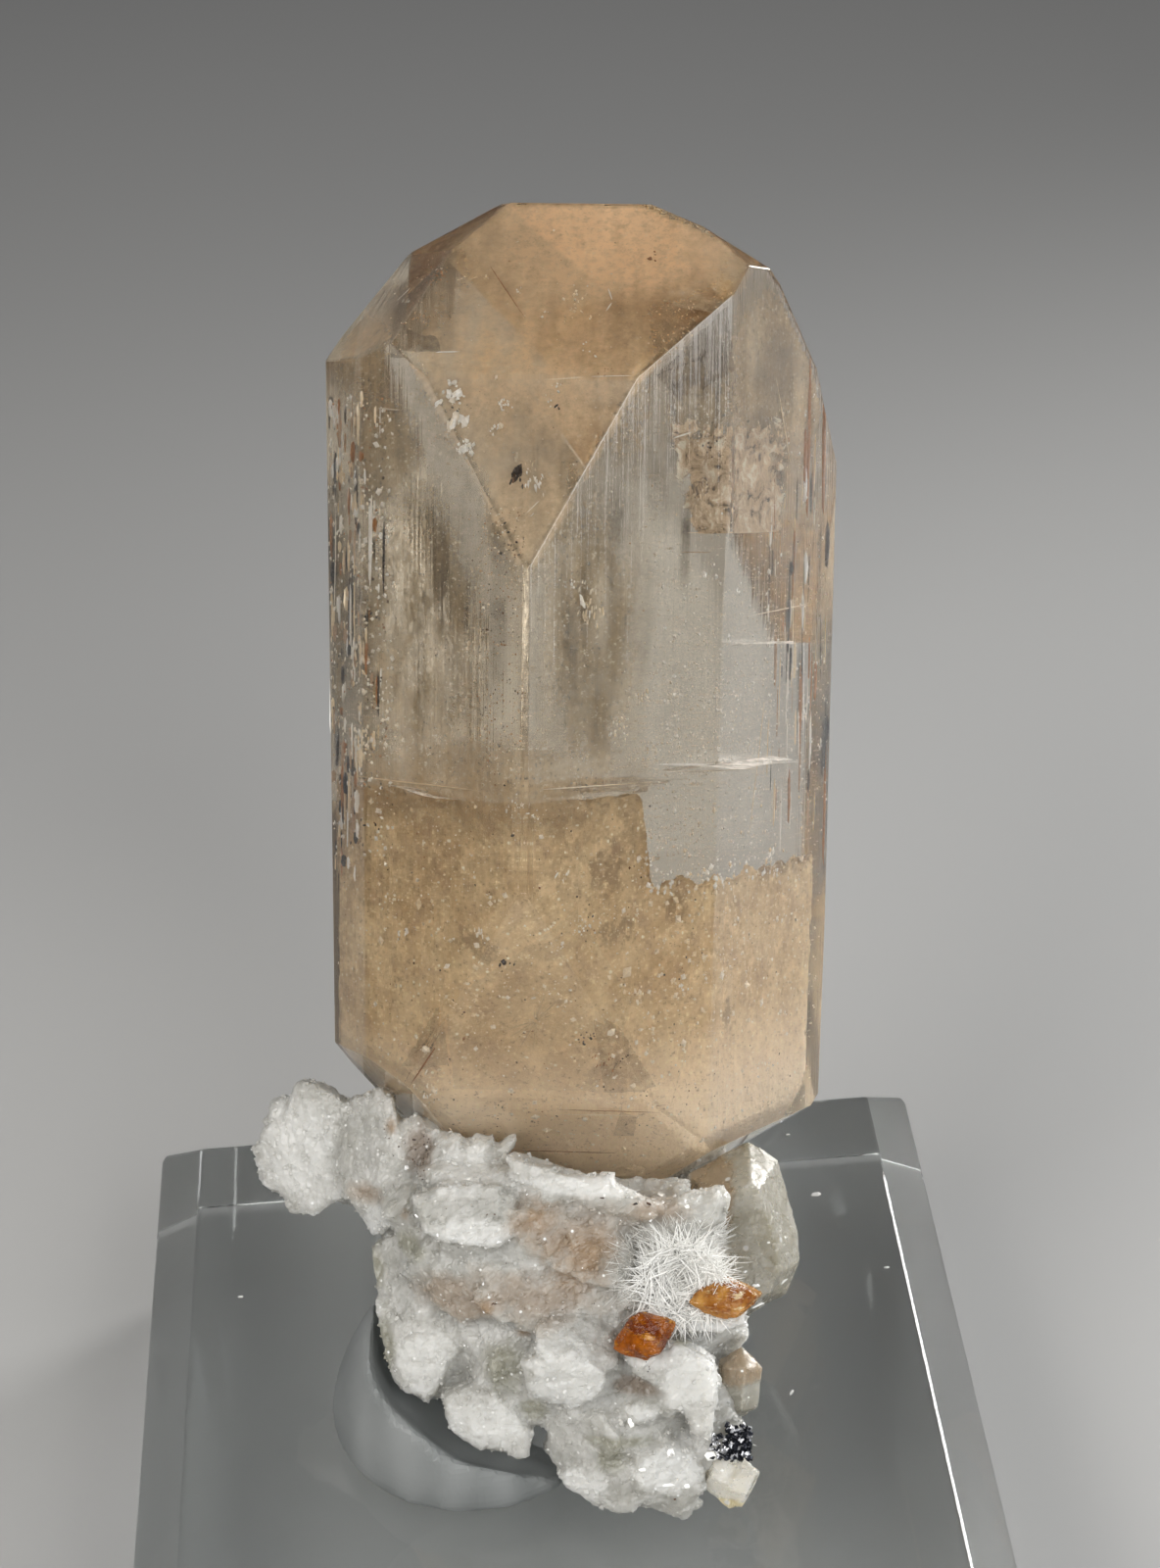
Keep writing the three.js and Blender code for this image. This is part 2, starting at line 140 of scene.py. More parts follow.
def smoothed(mesh, rounds, strength=0.5):
    solid = opened(mesh)
    for _ in range(rounds):
        bmesh.ops.smooth_vert(solid, verts=solid.verts, factor=strength, use_axis_x=True, use_axis_y=True,
                              use_axis_z=True)
    return closed(solid, mesh)


def cornerArray(mesh, what="co"):
    values = np.empty(len(mesh.vertices) * 3, np.float32)
    mesh.vertices.foreach_get(what, values)
    return values.reshape(-1, 3).astype(float)


def normalArray(mesh):
    return cornerArray(mesh, "normal")


def moveCorners(mesh, corners):
    mesh.vertices.foreach_set("co", corners.astype(np.float32).ravel())
    mesh.update()


def setAttribute(mesh, name, values, domain="POINT"):
    attribute = mesh.attributes.new(name, "FLOAT", domain)
    attribute.data.foreach_set("value", np.array(values, np.float32))


def hullOf(points):
    # the convex solid around a few points, as corners and faces
    solid = bmesh.new()
    for point in points:
        solid.verts.new(point)
    bmesh.ops.convex_hull(solid, input=solid.verts)
    loose = [corner for corner in solid.verts if not corner.link_faces]
    bmesh.ops.delete(solid, geom=loose, context="VERTS")
    bmesh.ops.recalc_face_normals(solid, faces=solid.faces)
    solid.verts.index_update()
    corners = np.array([corner.co[:] for corner in solid.verts])
    faces = [tuple(corner.index for corner in face.verts) for face in solid.faces]
    solid.free()
    return corners, faces


def meshShape(mesh):
    return cornerArray(mesh), [tuple(face.vertices) for face in mesh.polygons]


def roughStone(rng, corners=26, least=0.88):
    # a rounded lump with soft facets, one unit in radius
    turns = np.arange(corners) * math.pi * (3 - math.sqrt(5)) + rng.uniform(-0.2, 0.2, corners)
    heights = 1 - (2 * np.arange(corners) + 1) / corners
    rings = np.sqrt(1 - heights ** 2)
    reach = rng.uniform(least, 1, corners)
    points = np.stack([rings * np.cos(turns), rings * np.sin(turns), heights], axis=1) * reach[:, None]
    return hullOf([tuple(point) for point in points])


def ringFaces(count, rings):
    # the four-sided faces between rings of corners that follow each other
    squares = []
    for ring in range(rings):
        for side in range(count):
            here, after = ring * count + side, ring * count + (side + 1) % count
            squares.append((here, after, after + count, here + count))
    return squares


def gridFaces(rows, columns):
    return [(row * columns + column, row * columns + column + 1, (row + 1) * columns + column + 1,
             (row + 1) * columns + column) for row in range(rows - 1) for column in range(columns - 1)]


def rimOf(outline, spacing):
    # points along an outline, no further apart than the spacing
    rim = []
    for start, end in zip(outline, outline[1:] + outline[:1]):
        steps = max(2, int(math.dist(start, end) / spacing))
        for step in range(steps):
            share = step / steps
            rim.append([start[0] + (end[0] - start[0]) * share, start[1] + (end[1] - start[1]) * share])
    return rim


class Heap:
    # many small closed shapes gathered into one mesh
    def __init__(self):
        self.corners = []
        self.faces = []
        self.tints = []
        self.count = 0

    def add(self, shape, matrices, places, tints=None):
        corners, faces = shape
        moved = np.einsum("nij,kj->nki", matrices, corners) + places[:, None, :]
        for index in range(len(places)):
            start = self.count + index * len(corners)
            self.faces.extend([tuple(start + corner for corner in face) for face in faces])
        self.corners.append(moved.reshape(-1, 3))
        shades = np.full(len(places), 0.5) if tints is None else tints
        self.tints.append(np.repeat(shades, len(corners)))
        self.count += len(places) * len(corners)

    def put(self, shape, turn, place):
        # one shape, turned and sized in millimetres
        self.add(shape, np.array(turn)[None] * millimetre, np.array(place)[None])

    def keep(self, shape):
        # one shape as it is
        self.add(shape, np.eye(3)[None], np.zeros((1, 3)))

    def mesh(self, name):
        mesh = asMesh(name, np.concatenate(self.corners), self.faces)
        setAttribute(mesh, "shade", np.concatenate(self.tints))
        return mesh


def turnsTo(directions, rolls, sizes):
    # matrices that stand a shape's Z axis along each direction, rolled about it and scaled
    up = directions / np.linalg.norm(directions, axis=1, keepdims=True)
    helper = np.where(np.abs(up[:, 2:3]) < 0.9, np.array([[0.0, 0.0, 1.0]]), np.array([[1.0, 0.0, 0.0]]))
    side = np.cross(helper, up)
    side /= np.linalg.norm(side, axis=1, keepdims=True)
    other = np.cross(up, side)
    cosine, sine = np.cos(rolls)[:, None], np.sin(rolls)[:, None]
    first = side * cosine + other * sine
    second = other * cosine - side * sine
    return np.stack([first, second, up], axis=2) * sizes[:, None, :]


def tumbled(rng, scale):
    # matrices that turn each shape any way
    return turnsTo(rng.normal(size=(len(scale), 3)), rng.uniform(0, fullTurn, len(scale)), scale)


def surfaceSpots(mesh, count, rng):
    # evenly spread random places on a mesh, with the normal there
    mesh.calc_loop_triangles()
    triangles = np.empty(len(mesh.loop_triangles) * 3, np.int32)
    mesh.loop_triangles.foreach_get("vertices", triangles)
    points = cornerArray(mesh)[triangles.reshape(-1, 3)]
    across = np.cross(points[:, 1] - points[:, 0], points[:, 2] - points[:, 0])
    area = np.linalg.norm(across, axis=1)
    chosen = rng.choice(len(area), size=count, p=area / area.sum())
    first, second = rng.random(count), rng.random(count)
    flip = first + second > 1
    first[flip], second[flip] = 1 - first[flip], 1 - second[flip]
    base = points[chosen]
    places = base[:, 0] + first[:, None] * (base[:, 1] - base[:, 0])
    places += second[:, None] * (base[:, 2] - base[:, 0])
    return places, across[chosen] / np.maximum(area[chosen], 1e-12)[:, None]


def feed(tree, node, inputs):
    # sets inputs to numbers and colours, or links them to other nodes
    for key, value in inputs.items():
        if isinstance(value, bpy.types.NodeSocket):
            tree.links.new(value, node.inputs[key])
        else:
            node.inputs[key].default_value = value


def addNode(tree, kind, inputs=None, **settings):
    node = tree.nodes.new(kind)
    for key, value in settings.items():
        setattr(node, key, value)
    feed(tree, node, inputs or {})
    return node


def newMaterial(name):
    material = bpy.data.materials.new(name)
    material.use_nodes = True
    material.node_tree.nodes.clear()
    return material, material.node_tree


def setShader(tree, values, absorbed=None, density=0.0):
    # the shader of a material, and what a clear one absorbs inside
    output = tree.nodes.new("ShaderNodeOutputMaterial")
    shader = addNode(tree, "ShaderNodeBsdfPrincipled", values)
    tree.links.new(shader.outputs["BSDF"], output.inputs["Surface"])
    if absorbed:
        volume = addNode(tree, "ShaderNodeVolumeAbsorption", {"Color": absorbed, "Density": density})
        tree.links.new(volume.outputs["Volume"], output.inputs["Volume"])


def specimenPlace(tree):
    # the surface point in the specimen's own axes
    point = addNode(tree, "ShaderNodeTexCoord").outputs["Object"]
    values = {"Vector": point, "Location": specimen.translation, "Rotation": specimen.to_euler("XYZ")}
    return addNode(tree, "ShaderNodeMapping", values, vector_type="TEXTURE").outputs["Vector"]


def heightOf(tree, place):
    return addNode(tree, "ShaderNodeSeparateXYZ", {0: place}).outputs["Z"]


def attributeValue(tree, name):
    return addNode(tree, "ShaderNodeAttribute", attribute_name=name).outputs["Fac"]


def noiseValue(tree, place, scale, detail=2.0, roughness=0.5, distortion=0.0):
    values = {"Vector": place, "Scale": scale, "Detail": detail, "Roughness": roughness,
              "Distortion": distortion}
    return addNode(tree, "ShaderNodeTexNoise", values).outputs["Fac"]


def vectorMath(tree, operation, first, second=None):
    inputs = {0: first} if second is None else {0: first, 1: second}
    return addNode(tree, "ShaderNodeVectorMath", inputs, operation=operation).outputs


def sums(tree, operation, first, second):
    return addNode(tree, "ShaderNodeMath", {0: first, 1: second}, operation=operation).outputs[0]


def spread(tree, value, low, high, outLow=0.0, outHigh=1.0):
    inputs = {0: value, 1: low, 2: high, 3: outLow, 4: outHigh}
    return addNode(tree, "ShaderNodeMapRange", inputs, clamp=True).outputs[0]


def colourMix(tree, amount, first, second):
    return addNode(tree, "ShaderNodeMix", {0: amount, 6: first, 7: second}, data_type="RGBA").outputs[2]


def layered(tree, tone, layers):
    # colours laid over a tone one after another, each with its own amount
    for amount, colour in layers:
        tone = colourMix(tree, amount, tone, colour)
    return tone


def colourRamp(tree, value, stops):
    ramp = addNode(tree, "ShaderNodeValToRGB", {"Fac": value})
    elements = ramp.color_ramp.elements
    elements[0].position, elements[0].color = stops[0]
    elements[1].position, elements[1].color = stops[-1]
    for position, colour in stops[1:-1]:
        elements.new(position).color = colour
    return ramp.outputs["Color"]


def bumped(tree, height, distance, strength):
    inputs = {"Height": height, "Distance": distance, "Strength": strength}
    return addNode(tree, "ShaderNodeBump", inputs).outputs["Normal"]


def newGroup(name, inputs, outputs):
    # an input without a usual value is a place; everything else is a number
    group = bpy.data.node_groups.new(name, "ShaderNodeTree")
    for label, value in inputs.items():
        kind = "NodeSocketVector" if value is None else "NodeSocketFloat"
        socket = group.interface.new_socket(label, in_out="INPUT", socket_type=kind)
        if value is not None:
            socket.default_value = value
    for label in outputs:
        group.interface.new_socket(label, in_out="OUTPUT", socket_type="NodeSocketFloat")
    return group, group.nodes.new("NodeGroupInput").outputs, group.nodes.new("NodeGroupOutput")


def makeGrainGroup():
    # crystal grain: a facet height, a fine mask of painted glints and soft patches
    group, given, end = newGroup(
        "crystalGrain", {"Place": None, "Grain Size": 2000.0, "Speck Size": 4000.0, "Rarity": 0.93},
        ("Height", "Sparkle", "Patch"))
    cells = addNode(group, "ShaderNodeTexVoronoi", {"Vector": given["Place"], "Scale": given["Grain Size"]})
    fine = noiseValue(group, given["Place"], given["Grain Size"], 4.0, 0.6)
    specks = addNode(group, "ShaderNodeTexVoronoi", {"Vector": given["Place"], "Scale": given["Speck Size"]})
    lucky = addNode(group, "ShaderNodeSeparateColor", {"Color": specks.outputs["Color"]})
    chosen = sums(group, "GREATER_THAN", lucky.outputs["Red"], given["Rarity"])
    feed(group, end, {
        "Height": sums(group, "ADD", cells.outputs["Distance"], fine),
        "Sparkle": sums(group, "MULTIPLY", chosen, spread(group, specks.outputs["Distance"], 0.4, 0.25)),
        "Patch": spread(group, fine, 0.35, 0.65),
    })
    return group


def makeMarksGroup():
    # growth lines along the crystal and shallow pits, for clear stones
    group, given, end = newGroup(
        "growthMarks", {"Place": None, "Across": 3000.0, "Along": 60.0}, ("Lines", "Pits"))
    across, along = given["Across"], given["Along"]
    scale = addNode(group, "ShaderNodeCombineXYZ", {"X": across, "Y": across, "Z": along})
    drawn = vectorMath(group, "MULTIPLY", given["Place"], scale.outputs[0])[0]
    pits = addNode(group, "ShaderNodeTexVoronoi", {"Vector": given["Place"], "Scale": across})
    feed(group, end, {
        "Lines": spread(group, noiseValue(group, drawn, 1.0, 3.0, 0.7), 0.3, 0.7),
        "Pits": spread(group, pits.outputs["Distance"], 0.0, 0.25),
    })
    return group


crystalGrain = makeGrainGroup()
growthMarks = makeMarksGroup()


def grainOn(tree, place, grainSize, speckSize, rarity=0.93):
    values = {"Place": place, "Grain Size": grainSize, "Speck Size": speckSize, "Rarity": rarity}
    return addNode(tree, "ShaderNodeGroup", values, node_tree=crystalGrain).outputs


def marksOn(tree, place, across, along):
    values = {"Place": place, "Across": across, "Along": along}
    return addNode(tree, "ShaderNodeGroup", values, node_tree=growthMarks).outputs


def makeGlintMaterial(name, dull, bright, rough, ior, grainSize=5000.0, speckSize=9000.0):
    # a small bright face, for glints a painted highlight; the two tones change from patch to patch
    material, tree = newMaterial(name)
    grain = grainOn(tree, specimenPlace(tree), grainSize, speckSize)
    tone = colourMix(tree, grain["Patch"], dull, bright)
    setShader(tree, {"Base Color": tone, "Roughness": rough, "IOR": ior})
    return material


topazLook = {
    "bevel": 0.05,
    "colour": (1.0, 0.985, 0.95, 1.0),
    "ior": 1.62,
    "absorption": (0.84, 0.66, 0.34, 1.0),
    "density": 28.0,
    "lineDepth": 0.000016,
    "sideFace": 0.12,        # a face that looks up or down less than this is a side face
    "flakes": 900,
    "dust": 15000,
    "dustTop": 1.5,
    "foot": -27.5,           # flakes and dust lie between these two heights
    "head": 15,
    # flakeColour and flakeBright paint the flakes near white, as painted glints
    "flakeColour": (1, 0.93, 0.82, 1),
    "dustColour": (0.95, 0.8, 0.64, 1),
    "flakeBright": (1.0, 0.98, 0.95, 1.0),
}


def topazPlanes():
    # the flat faces of the topaz as normals and distances, in its own axes
    mesh = cleanSolid(nodeMesh("topaz_crystal"))
    normals = np.array([face.normal[:] for face in mesh.polygons])
    points = np.array([mesh.vertices[face.vertices[0]].co[:] for face in mesh.polygons])
    bpy.data.meshes.remove(mesh)
    return normals, (normals * points).sum(axis=1)


topazNormals, topazDistances = topazPlanes()
frontSide = -topazNormals[:, 1] > 0.05
frontNormals, frontDistances = topazNormals[frontSide], topazDistances[frontSide]


def inTopaz(points, wall):
    # which points lie in the topaz, clear of its faces by the wall in mm
    return (points @ topazNormals.T < topazDistances - wall * millimetre).all(axis=1)


def frontFace(right, up):
    # how far the topaz stands to the front at a place, and how much the face there looks up
    room = frontDistances - frontNormals[:, 0] * right * millimetre - frontNormals[:, 2] * up * millimetre
    reach = room / -frontNormals[:, 1]
    nearest = reach.argmin()
    return float(reach[nearest]) / millimetre, frontNormals[nearest, 2]


def frontOf(right, up):
    return frontFace(right, up)[0]


def keepInside(mesh):
    # what of a sheet would reach out of the topaz is cut away
    within = inTopaz(cornerArray(mesh), wallGap)
    solid = opened(mesh)
    outside = [corner for corner, inside in zip(solid.verts, within) if not inside]
    bmesh.ops.delete(solid, geom=outside, context="VERTS")
    loose = [corner for corner in solid.verts if not corner.link_faces]
    bmesh.ops.delete(solid, geom=loose, context="VERTS")
    closed(solid, mesh)


def makeTopaz():
    mesh = cleanSolid(nodeMesh("topaz_crystal"), topazLook["bevel"] * millimetre)
    # the long side faces carry growth lines, the end faces don't
    sides = [1.0 if abs(face.normal.z) < topazLook["sideFace"] else 0.0 for face in mesh.polygons]
    setAttribute(mesh, "prism", sides, "FACE")
    material, tree = newMaterial("topazClear")
    marks = marksOn(tree, specimenPlace(tree), 2400.0, 40.0)
    lines = sums(tree, "MULTIPLY", marks["Lines"], attributeValue(tree, "prism"))
    setShader(tree, {
        "Base Color": topazLook["colour"],
        "Roughness": spread(tree, marks["Pits"], 0.0, 1.0, 0.06, 0.015),
        "Transmission Weight": 1.0,
        "IOR": topazLook["ior"],
        "Normal": bumped(tree, lines, topazLook["lineDepth"], 1.0),
    }, topazLook["absorption"], topazLook["density"])
    addPiece("topazCrystal", mesh, material, "topaz_crystal")


def insideTopaz(rng, count, wall=0.4):
    # random places inside the topaz
    least, most = (-13, -14, topazLook["foot"]), (15, 12, topazLook["head"])
    found = np.zeros((0, 3))
    while len(found) < count:
        points = rng.uniform(least, most, (count, 3)) * millimetre
        found = np.concatenate([found, points[inTopaz(points, wall)]])
    return found[:count]


def flakeShape(sides, thickness):
    rim = [(math.cos(turn), math.sin(turn), 0) for turn in np.linspace(0, 2 * math.pi, sides, endpoint=False)]
    return hullOf(rim + [(0, 0, thickness), (0, 0, -thickness)])


def makeFlakes():
    # small cracks everywhere, painted bright as glints, and fine dust that thickens downward
    rng = np.random.default_rng(11)
    bright = topazLook["flakeBright"]
    heap = Heap()
    places = insideTopaz(rng, topazLook["flakes"])
    count = len(places)
    sizes = np.minimum(np.exp(rng.normal(-2.6, 0.45, count)), 0.13)
    scale = np.stack([sizes, sizes * rng.uniform(0.4, 1, count), sizes], axis=1) * millimetre
    heap.add(flakeShape(6, 0.1), tumbled(rng, scale), places)
    flakes = makeGlintMaterial("flakeBright", topazLook["flakeColour"], bright, 0.08, 1.8, speckSize=8000.0)
    addPiece("topazFlakes", heap.mesh("topazFlakes"), flakes)
    heap = Heap()
    dust = insideTopaz(rng, topazLook["dust"] * 3)
    height = dust[:, 2] / millimetre
    keep = rng.random(len(dust)) < np.clip((topazLook["dustTop"] - height) / 8, 0.12, 1)
    dust = dust[keep][:topazLook["dust"]]
    sizes = np.exp(rng.normal(-3.2, 0.35, len(dust)))
    scale = np.stack([sizes, sizes, sizes], axis=1) * millimetre
    heap.add(flakeShape(3, 0.7), tumbled(rng, scale), dust)
    peach = makeGlintMaterial("dustPeach", topazLook["dustColour"], bright, 0.4, 1.8, speckSize=8000.0)
    addPiece("topazDust", heap.mesh("topazDust"), peach)


cloudLook = {
    "top": -9.3,         # where the milky lower part begins
    "rightTop": -13.4,   # lower under the clear window on the right
    "stepAt": 4.8,
    "slant": 0.36,       # the step runs to the rear at this slant
    "ragged": 0.5,
    "fall": 0.24,        # how fast its top falls toward the rear
    "wall": 0.9,         # its width as a share of the crystal's
    "length": 0.955,
    "middle": (0.2, 0.8, -12),
    "bumps": 0.3,
    "voxel": 0.35,
    "colour": (0.62, 0.44, 0.24, 1.0),
    "pale": (0.80, 0.63, 0.39, 1.0),
    "dusk": (0.30, 0.20, 0.11, 1.0),
    "honey": (1.0, 0.79, 0.50, 1.0),
    "rose": (0.48, 0.32, 0.21, 1.0),
    # foot lightens the bottom of the milky part, a painted light
    "foot": (1.0, 0.82, 0.61, 1.0),
    "crumb": (1.0, 0.88, 0.6, 1),
    "paintedGlint": (1.0, 0.95, 0.8, 1),
}


def makeCloudMaterial():
    material, tree = newMaterial("topazCloud")
    place = specimenPlace(tree)
    grain = grainOn(tree, place, 900.0, 4600.0, 0.96)
    broad = noiseValue(tree, place, 380.0, 6.0, 0.72)
    fine = noiseValue(tree, place, 1900.0, 3.0, 0.7)
    crumbs = noiseValue(tree, place, 4200.0, 3.0, 0.75)
    clots = noiseValue(tree, place, 1050.0, 4.0, 0.6)
    height = heightOf(tree, place)
    low = spread(tree, height, -0.0155, -0.0105, 0.0, 0.45)
    patch = spread(tree, sums(tree, "ADD", broad, fine), 0.92, 1.12, 1.0, 0.2)
    dusk = sums(tree, "MULTIPLY", attributeValue(tree, "dusk"), patch)
    tone = colourMix(tree, spread(tree, broad, 0.36, 0.64), cloudLook["colour"], cloudLook["pale"])
    tone = layered(tree, tone, [
        (sums(tree, "MULTIPLY", low, patch), cloudLook["dusk"]),
        (spread(tree, dusk, 0.15, 0.5, 0.0, 0.6), cloudLook["dusk"]),
        (spread(tree, fine, 0.3, 0.42, 0.35, 0.0), cloudLook["dusk"]),
        (spread(tree, clots, 0.52, 0.66, 0.0, 0.5), cloudLook["honey"]),
        (spread(tree, clots, 0.34, 0.46, 0.4, 0.0), cloudLook["rose"]),
        # painted light: lighter toward the foot
        (spread(tree, height, -0.0235, -0.0195, 1.0, 0.0), cloudLook["foot"]),
        (spread(tree, crumbs, 0.57, 0.68, 0.0, 0.7), cloudLook["crumb"]),
        (spread(tree, crumbs, 0.3, 0.42, 0.65, 0.0), cloudLook["dusk"]),
        # painted glints: bright specks painted into the milky colour
        (grain["Sparkle"], cloudLook["paintedGlint"]),
    ])
    setShader(tree, {
        "Base Color": tone,
        "Roughness": 0.5,
        "Subsurface Weight": 0.1,
        "Subsurface Radius": (1.0, 0.8, 0.6),
        "Subsurface Scale": 0.0004,
        "Normal": bumped(tree, broad, 0.0004, 0.8),
    })
    return material


# Darker places in the milky part: right, up, half width and half height
duskZones = [
    (3.6, -21.2, 1.3, 1.7), (3.0, -12.3, 0.9, 1.6), (3.6, -15.2, 1.2, 0.8), (-1.8, -15.4, 1.0, 0.7),
    (3.4, -24.0, 0.9, 0.7), (-4.2, -21.2, 0.8, 1.3), (6.0, -14.4, 0.6, 0.8), (8.2, -19.6, 0.4, 1.0),
]


def makeCloud():
    # the lower part of the topaz is full of tiny cracks and reads as one milky body under its clear skin
    solid = opened(cleanSolid(nodeMesh("topaz_crystal")))
    middle = Vector(cloudLook["middle"]) * millimetre
    size = Matrix.Diagonal((cloudLook["wall"], cloudLook["wall"], cloudLook["length"], 1))
    bmesh.ops.transform(solid, matrix=Matrix.Translation(middle) @ size @ Matrix.Translation(-middle),
                        verts=solid.verts)
    bmesh.ops.bisect_plane(solid, geom=solid.verts[:] + solid.edges[:] + solid.faces[:],
                           plane_co=spot(0, 0, cloudLook["top"]), plane_no=(0, 0, 1), clear_outer=True)
    bmesh.ops.holes_fill(solid, edges=[edge for edge in solid.edges if edge.is_boundary])
    bmesh.ops.triangulate(solid, faces=solid.faces)
    mesh = remeshed(closed(solid, bpy.data.meshes.new("topazCloud")), cloudLook["voxel"])
    corners, normals = cornerArray(mesh), normalArray(mesh)
    for index, corner in enumerate(corners):
        place = Vector(corner)
        right, up = place.x / millimetre, place.z / millimetre
        inward = max(frontOf(right, min(up, 0.0)) + place.y / millimetre - 1.0, 0)
        step = min(max((right - cloudLook["stepAt"] + cloudLook["slant"] * inward) / 0.4 + 0.5, 0), 1)
        top = cloudLook["top"] + step * (cloudLook["rightTop"] - cloudLook["top"])
        top += noise.fractal(place * Vector((900, 900, 300)), 1.0, 2.0, 3) * cloudLook["ragged"]
        top -= min(cloudLook["fall"] * inward, 4.0)
        bump = noise.fractal(place * 420, 1.0, 2.0, 4) * cloudLook["bumps"] * millimetre
        corners[index] += normals[index] * bump
        corners[index][2] = min(up, top) * millimetre
    moveCorners(mesh, corners)
    places = corners / millimetre
    shade = np.zeros(len(corners))
    for right, up, halfWidth, halfHeight in duskZones:
        away = np.hypot((places[:, 0] - right) / halfWidth, (places[:, 2] - up) / halfHeight)
        shade = np.maximum(shade, np.where(places[:, 1] < 0, np.clip(1.2 - away, 0, 1), 0))
    # painted shade: the rear of the milky part's top is darkened
    rear = np.clip((places[:, 1] + 1.5) / 1.5, 0, 1) * np.clip((places[:, 2] + 14.5) / 1.5, 0, 1)
    setAttribute(mesh, "dusk", np.maximum(shade, rear))
    addPiece("topazCloud", mesh, makeCloudMaterial())


# Flat cracks along the topaz's easy cleavage: middle, half width, half depth, lean in degrees
basalCracks = {
    "rightCrack": ((8.2, 4.0, -8.45), 3.3, 3.6, (3, 2)),
    "leftCrack": ((-0.6, 5.0, -9.3), 5.6, 5.0, (1, -1)),
    "thinCrack": ((9.6, 2.5, -3.4), 2.0, 1.6, (2, 3)),
    "highCrack": ((-5.2, 6.2, 6.5), 1.0, 1.4, (2, 0)),
}


crackLook = {
    "rings": 14,
    "spokes": 48,
    "thickness": 0.012,
    # near white, a painted reflection off the crack
    "colour": (1.0, 0.93, 0.84, 1),
    "clear": 0.05,       # least and most cover of the lace that breaks it up
    "dense": 0.8,
}


def crackSheet(middle, halfWidth, halfDepth, lean, seed):
    # a thin lens with a wavy rim, as upper and lower skin
    rings, spokes, thickness = crackLook["rings"], crackLook["spokes"], crackLook["thickness"]
    top = []
    for ring in range(rings + 1):
        for spoke in range(spokes):
            turn = 2 * math.pi * spoke / spokes
            edge = 1 + 0.28 * noise.noise(Vector((math.cos(turn) * 1.7, math.sin(turn) * 1.7, seed)))
            share = ring / rings * edge
            right, front = halfWidth * share * math.cos(turn), halfDepth * share * math.sin(turn)
            wave = 0.22 * noise.noise(Vector((right * 0.5, front * 0.5, seed + 5)))
            rise = wave + right * math.tan(math.radians(lean[0])) + front * math.tan(math.radians(lean[1]))
            top.append((right, front, rise, 1 - ring / rings))
    corners = [spot(middle[0] + right, middle[1] + front, middle[2] + rise + side * thickness * inner ** 0.5)
               for side in (1, -1) for right, front, rise, inner in top]
    faces = []
    for square in ringFaces(spokes, rings):
        faces += [square, tuple(len(top) + corner for corner in reversed(square))]
    return corners, faces


def makeCracks():
    material, tree = newMaterial("crackSilver")
    lace = noiseValue(tree, specimenPlace(tree), 900.0, 5.0, 0.7)
    cover = spread(tree, lace, 0.42, 0.56, crackLook["clear"], crackLook["dense"])
    setShader(tree, {"Base Color": crackLook["colour"], "Roughness": 0.3, "Alpha": cover})
    for index, (name, look) in enumerate(basalCracks.items()):
        mesh = asMesh(name, *crackSheet(*look, seed=3.0 + index * 4.7))
        solid = opened(mesh)
        bmesh.ops.remove_doubles(solid, verts=solid.verts, dist=1e-7)
        bmesh.ops.recalc_face_normals(solid, faces=solid.faces)
        addPiece(name, closed(solid, mesh), material)


# the near-white flaws are painted glints
# Fields of tiny flaws under the front faces: right, up, how deep, count, size and shade from black to white
flawFields = {
    "windowSpecks": ((4.7, 10.8), (-12.8, 1.3), (0.2, 3.0), 520, 0.05, (0.9, 1.0)),
    "windowBright": ((4.9, 10.8), (-12.6, 1.0), (0.2, 1.5), 260, 0.095, (0.98, 1.0)),
    "windowLowSpecks": ((5.0, 10.4), (-8.2, -4.0), (0.2, 2.0), 300, 0.07, (0.9, 1.0)),
    "upperSpecks": ((3.2, 8.8), (1.2, 11.0), (0.3, 3.0), 420, 0.032, (0.5, 1.0)),
    "ridgeSpecks": ((-1.9, -0.1), (-8.8, 2.5), (0.15, 0.8), 620, 0.04, (0.0, 1.0)),
    "leftSpecks": ((-7.5, -2.0), (-8.5, 6.0), (0.2, 2.0), 380, 0.03, (0.2, 1.0)),
    "centreSpecks": ((0.1, 4.6), (-8.5, 4.0), (0.2, 2.0), 260, 0.03, (0.4, 1.0)),
    "domeSpecks": ((-6.0, 7.0), (4.0, 14.0), (0.3, 2.5), 420, 0.028, (0.2, 1.0)),
    "lowerGlints": ((-8.6, 12.6), (-26.5, -9.6), (0.15, 0.8), 700, 0.042, (0.78, 1.0)),
    "lowerBright": ((4.5, 12.6), (-21.0, -12.8), (0.15, 0.5), 220, 0.12, (0.77, 0.92)),
    "lowerRow": ((5.0, 11.0), (-13.8, -12.6), (0.15, 0.5), 70, 0.14, (0.97, 1.0)),
    "lowerBig": ((-8.6, 12.6), (-26.0, -9.6), (0.15, 0.4), 230, 0.13, (0.77, 0.94)),
    "lowerDark": ((-8.6, 12.2), (-24.0, -9.6), (0.15, 0.7), 260, 0.045, (0.0, 0.35)),
    "leftGlints": ((-8.9, -5.6), (-12.5, 7.0), (0.15, 0.7), 380, 0.105, (0.92, 1.0)),
    "leftDark": ((-9.0, -5.8), (-12.5, 7.0), (0.15, 0.7), 260, 0.07, (0.05, 0.4)),
    "rightGlints": ((10.8, 13.4), (-12.5, 8.0), (0.15, 0.6), 260, 0.075, (0.9, 1.0)),
}
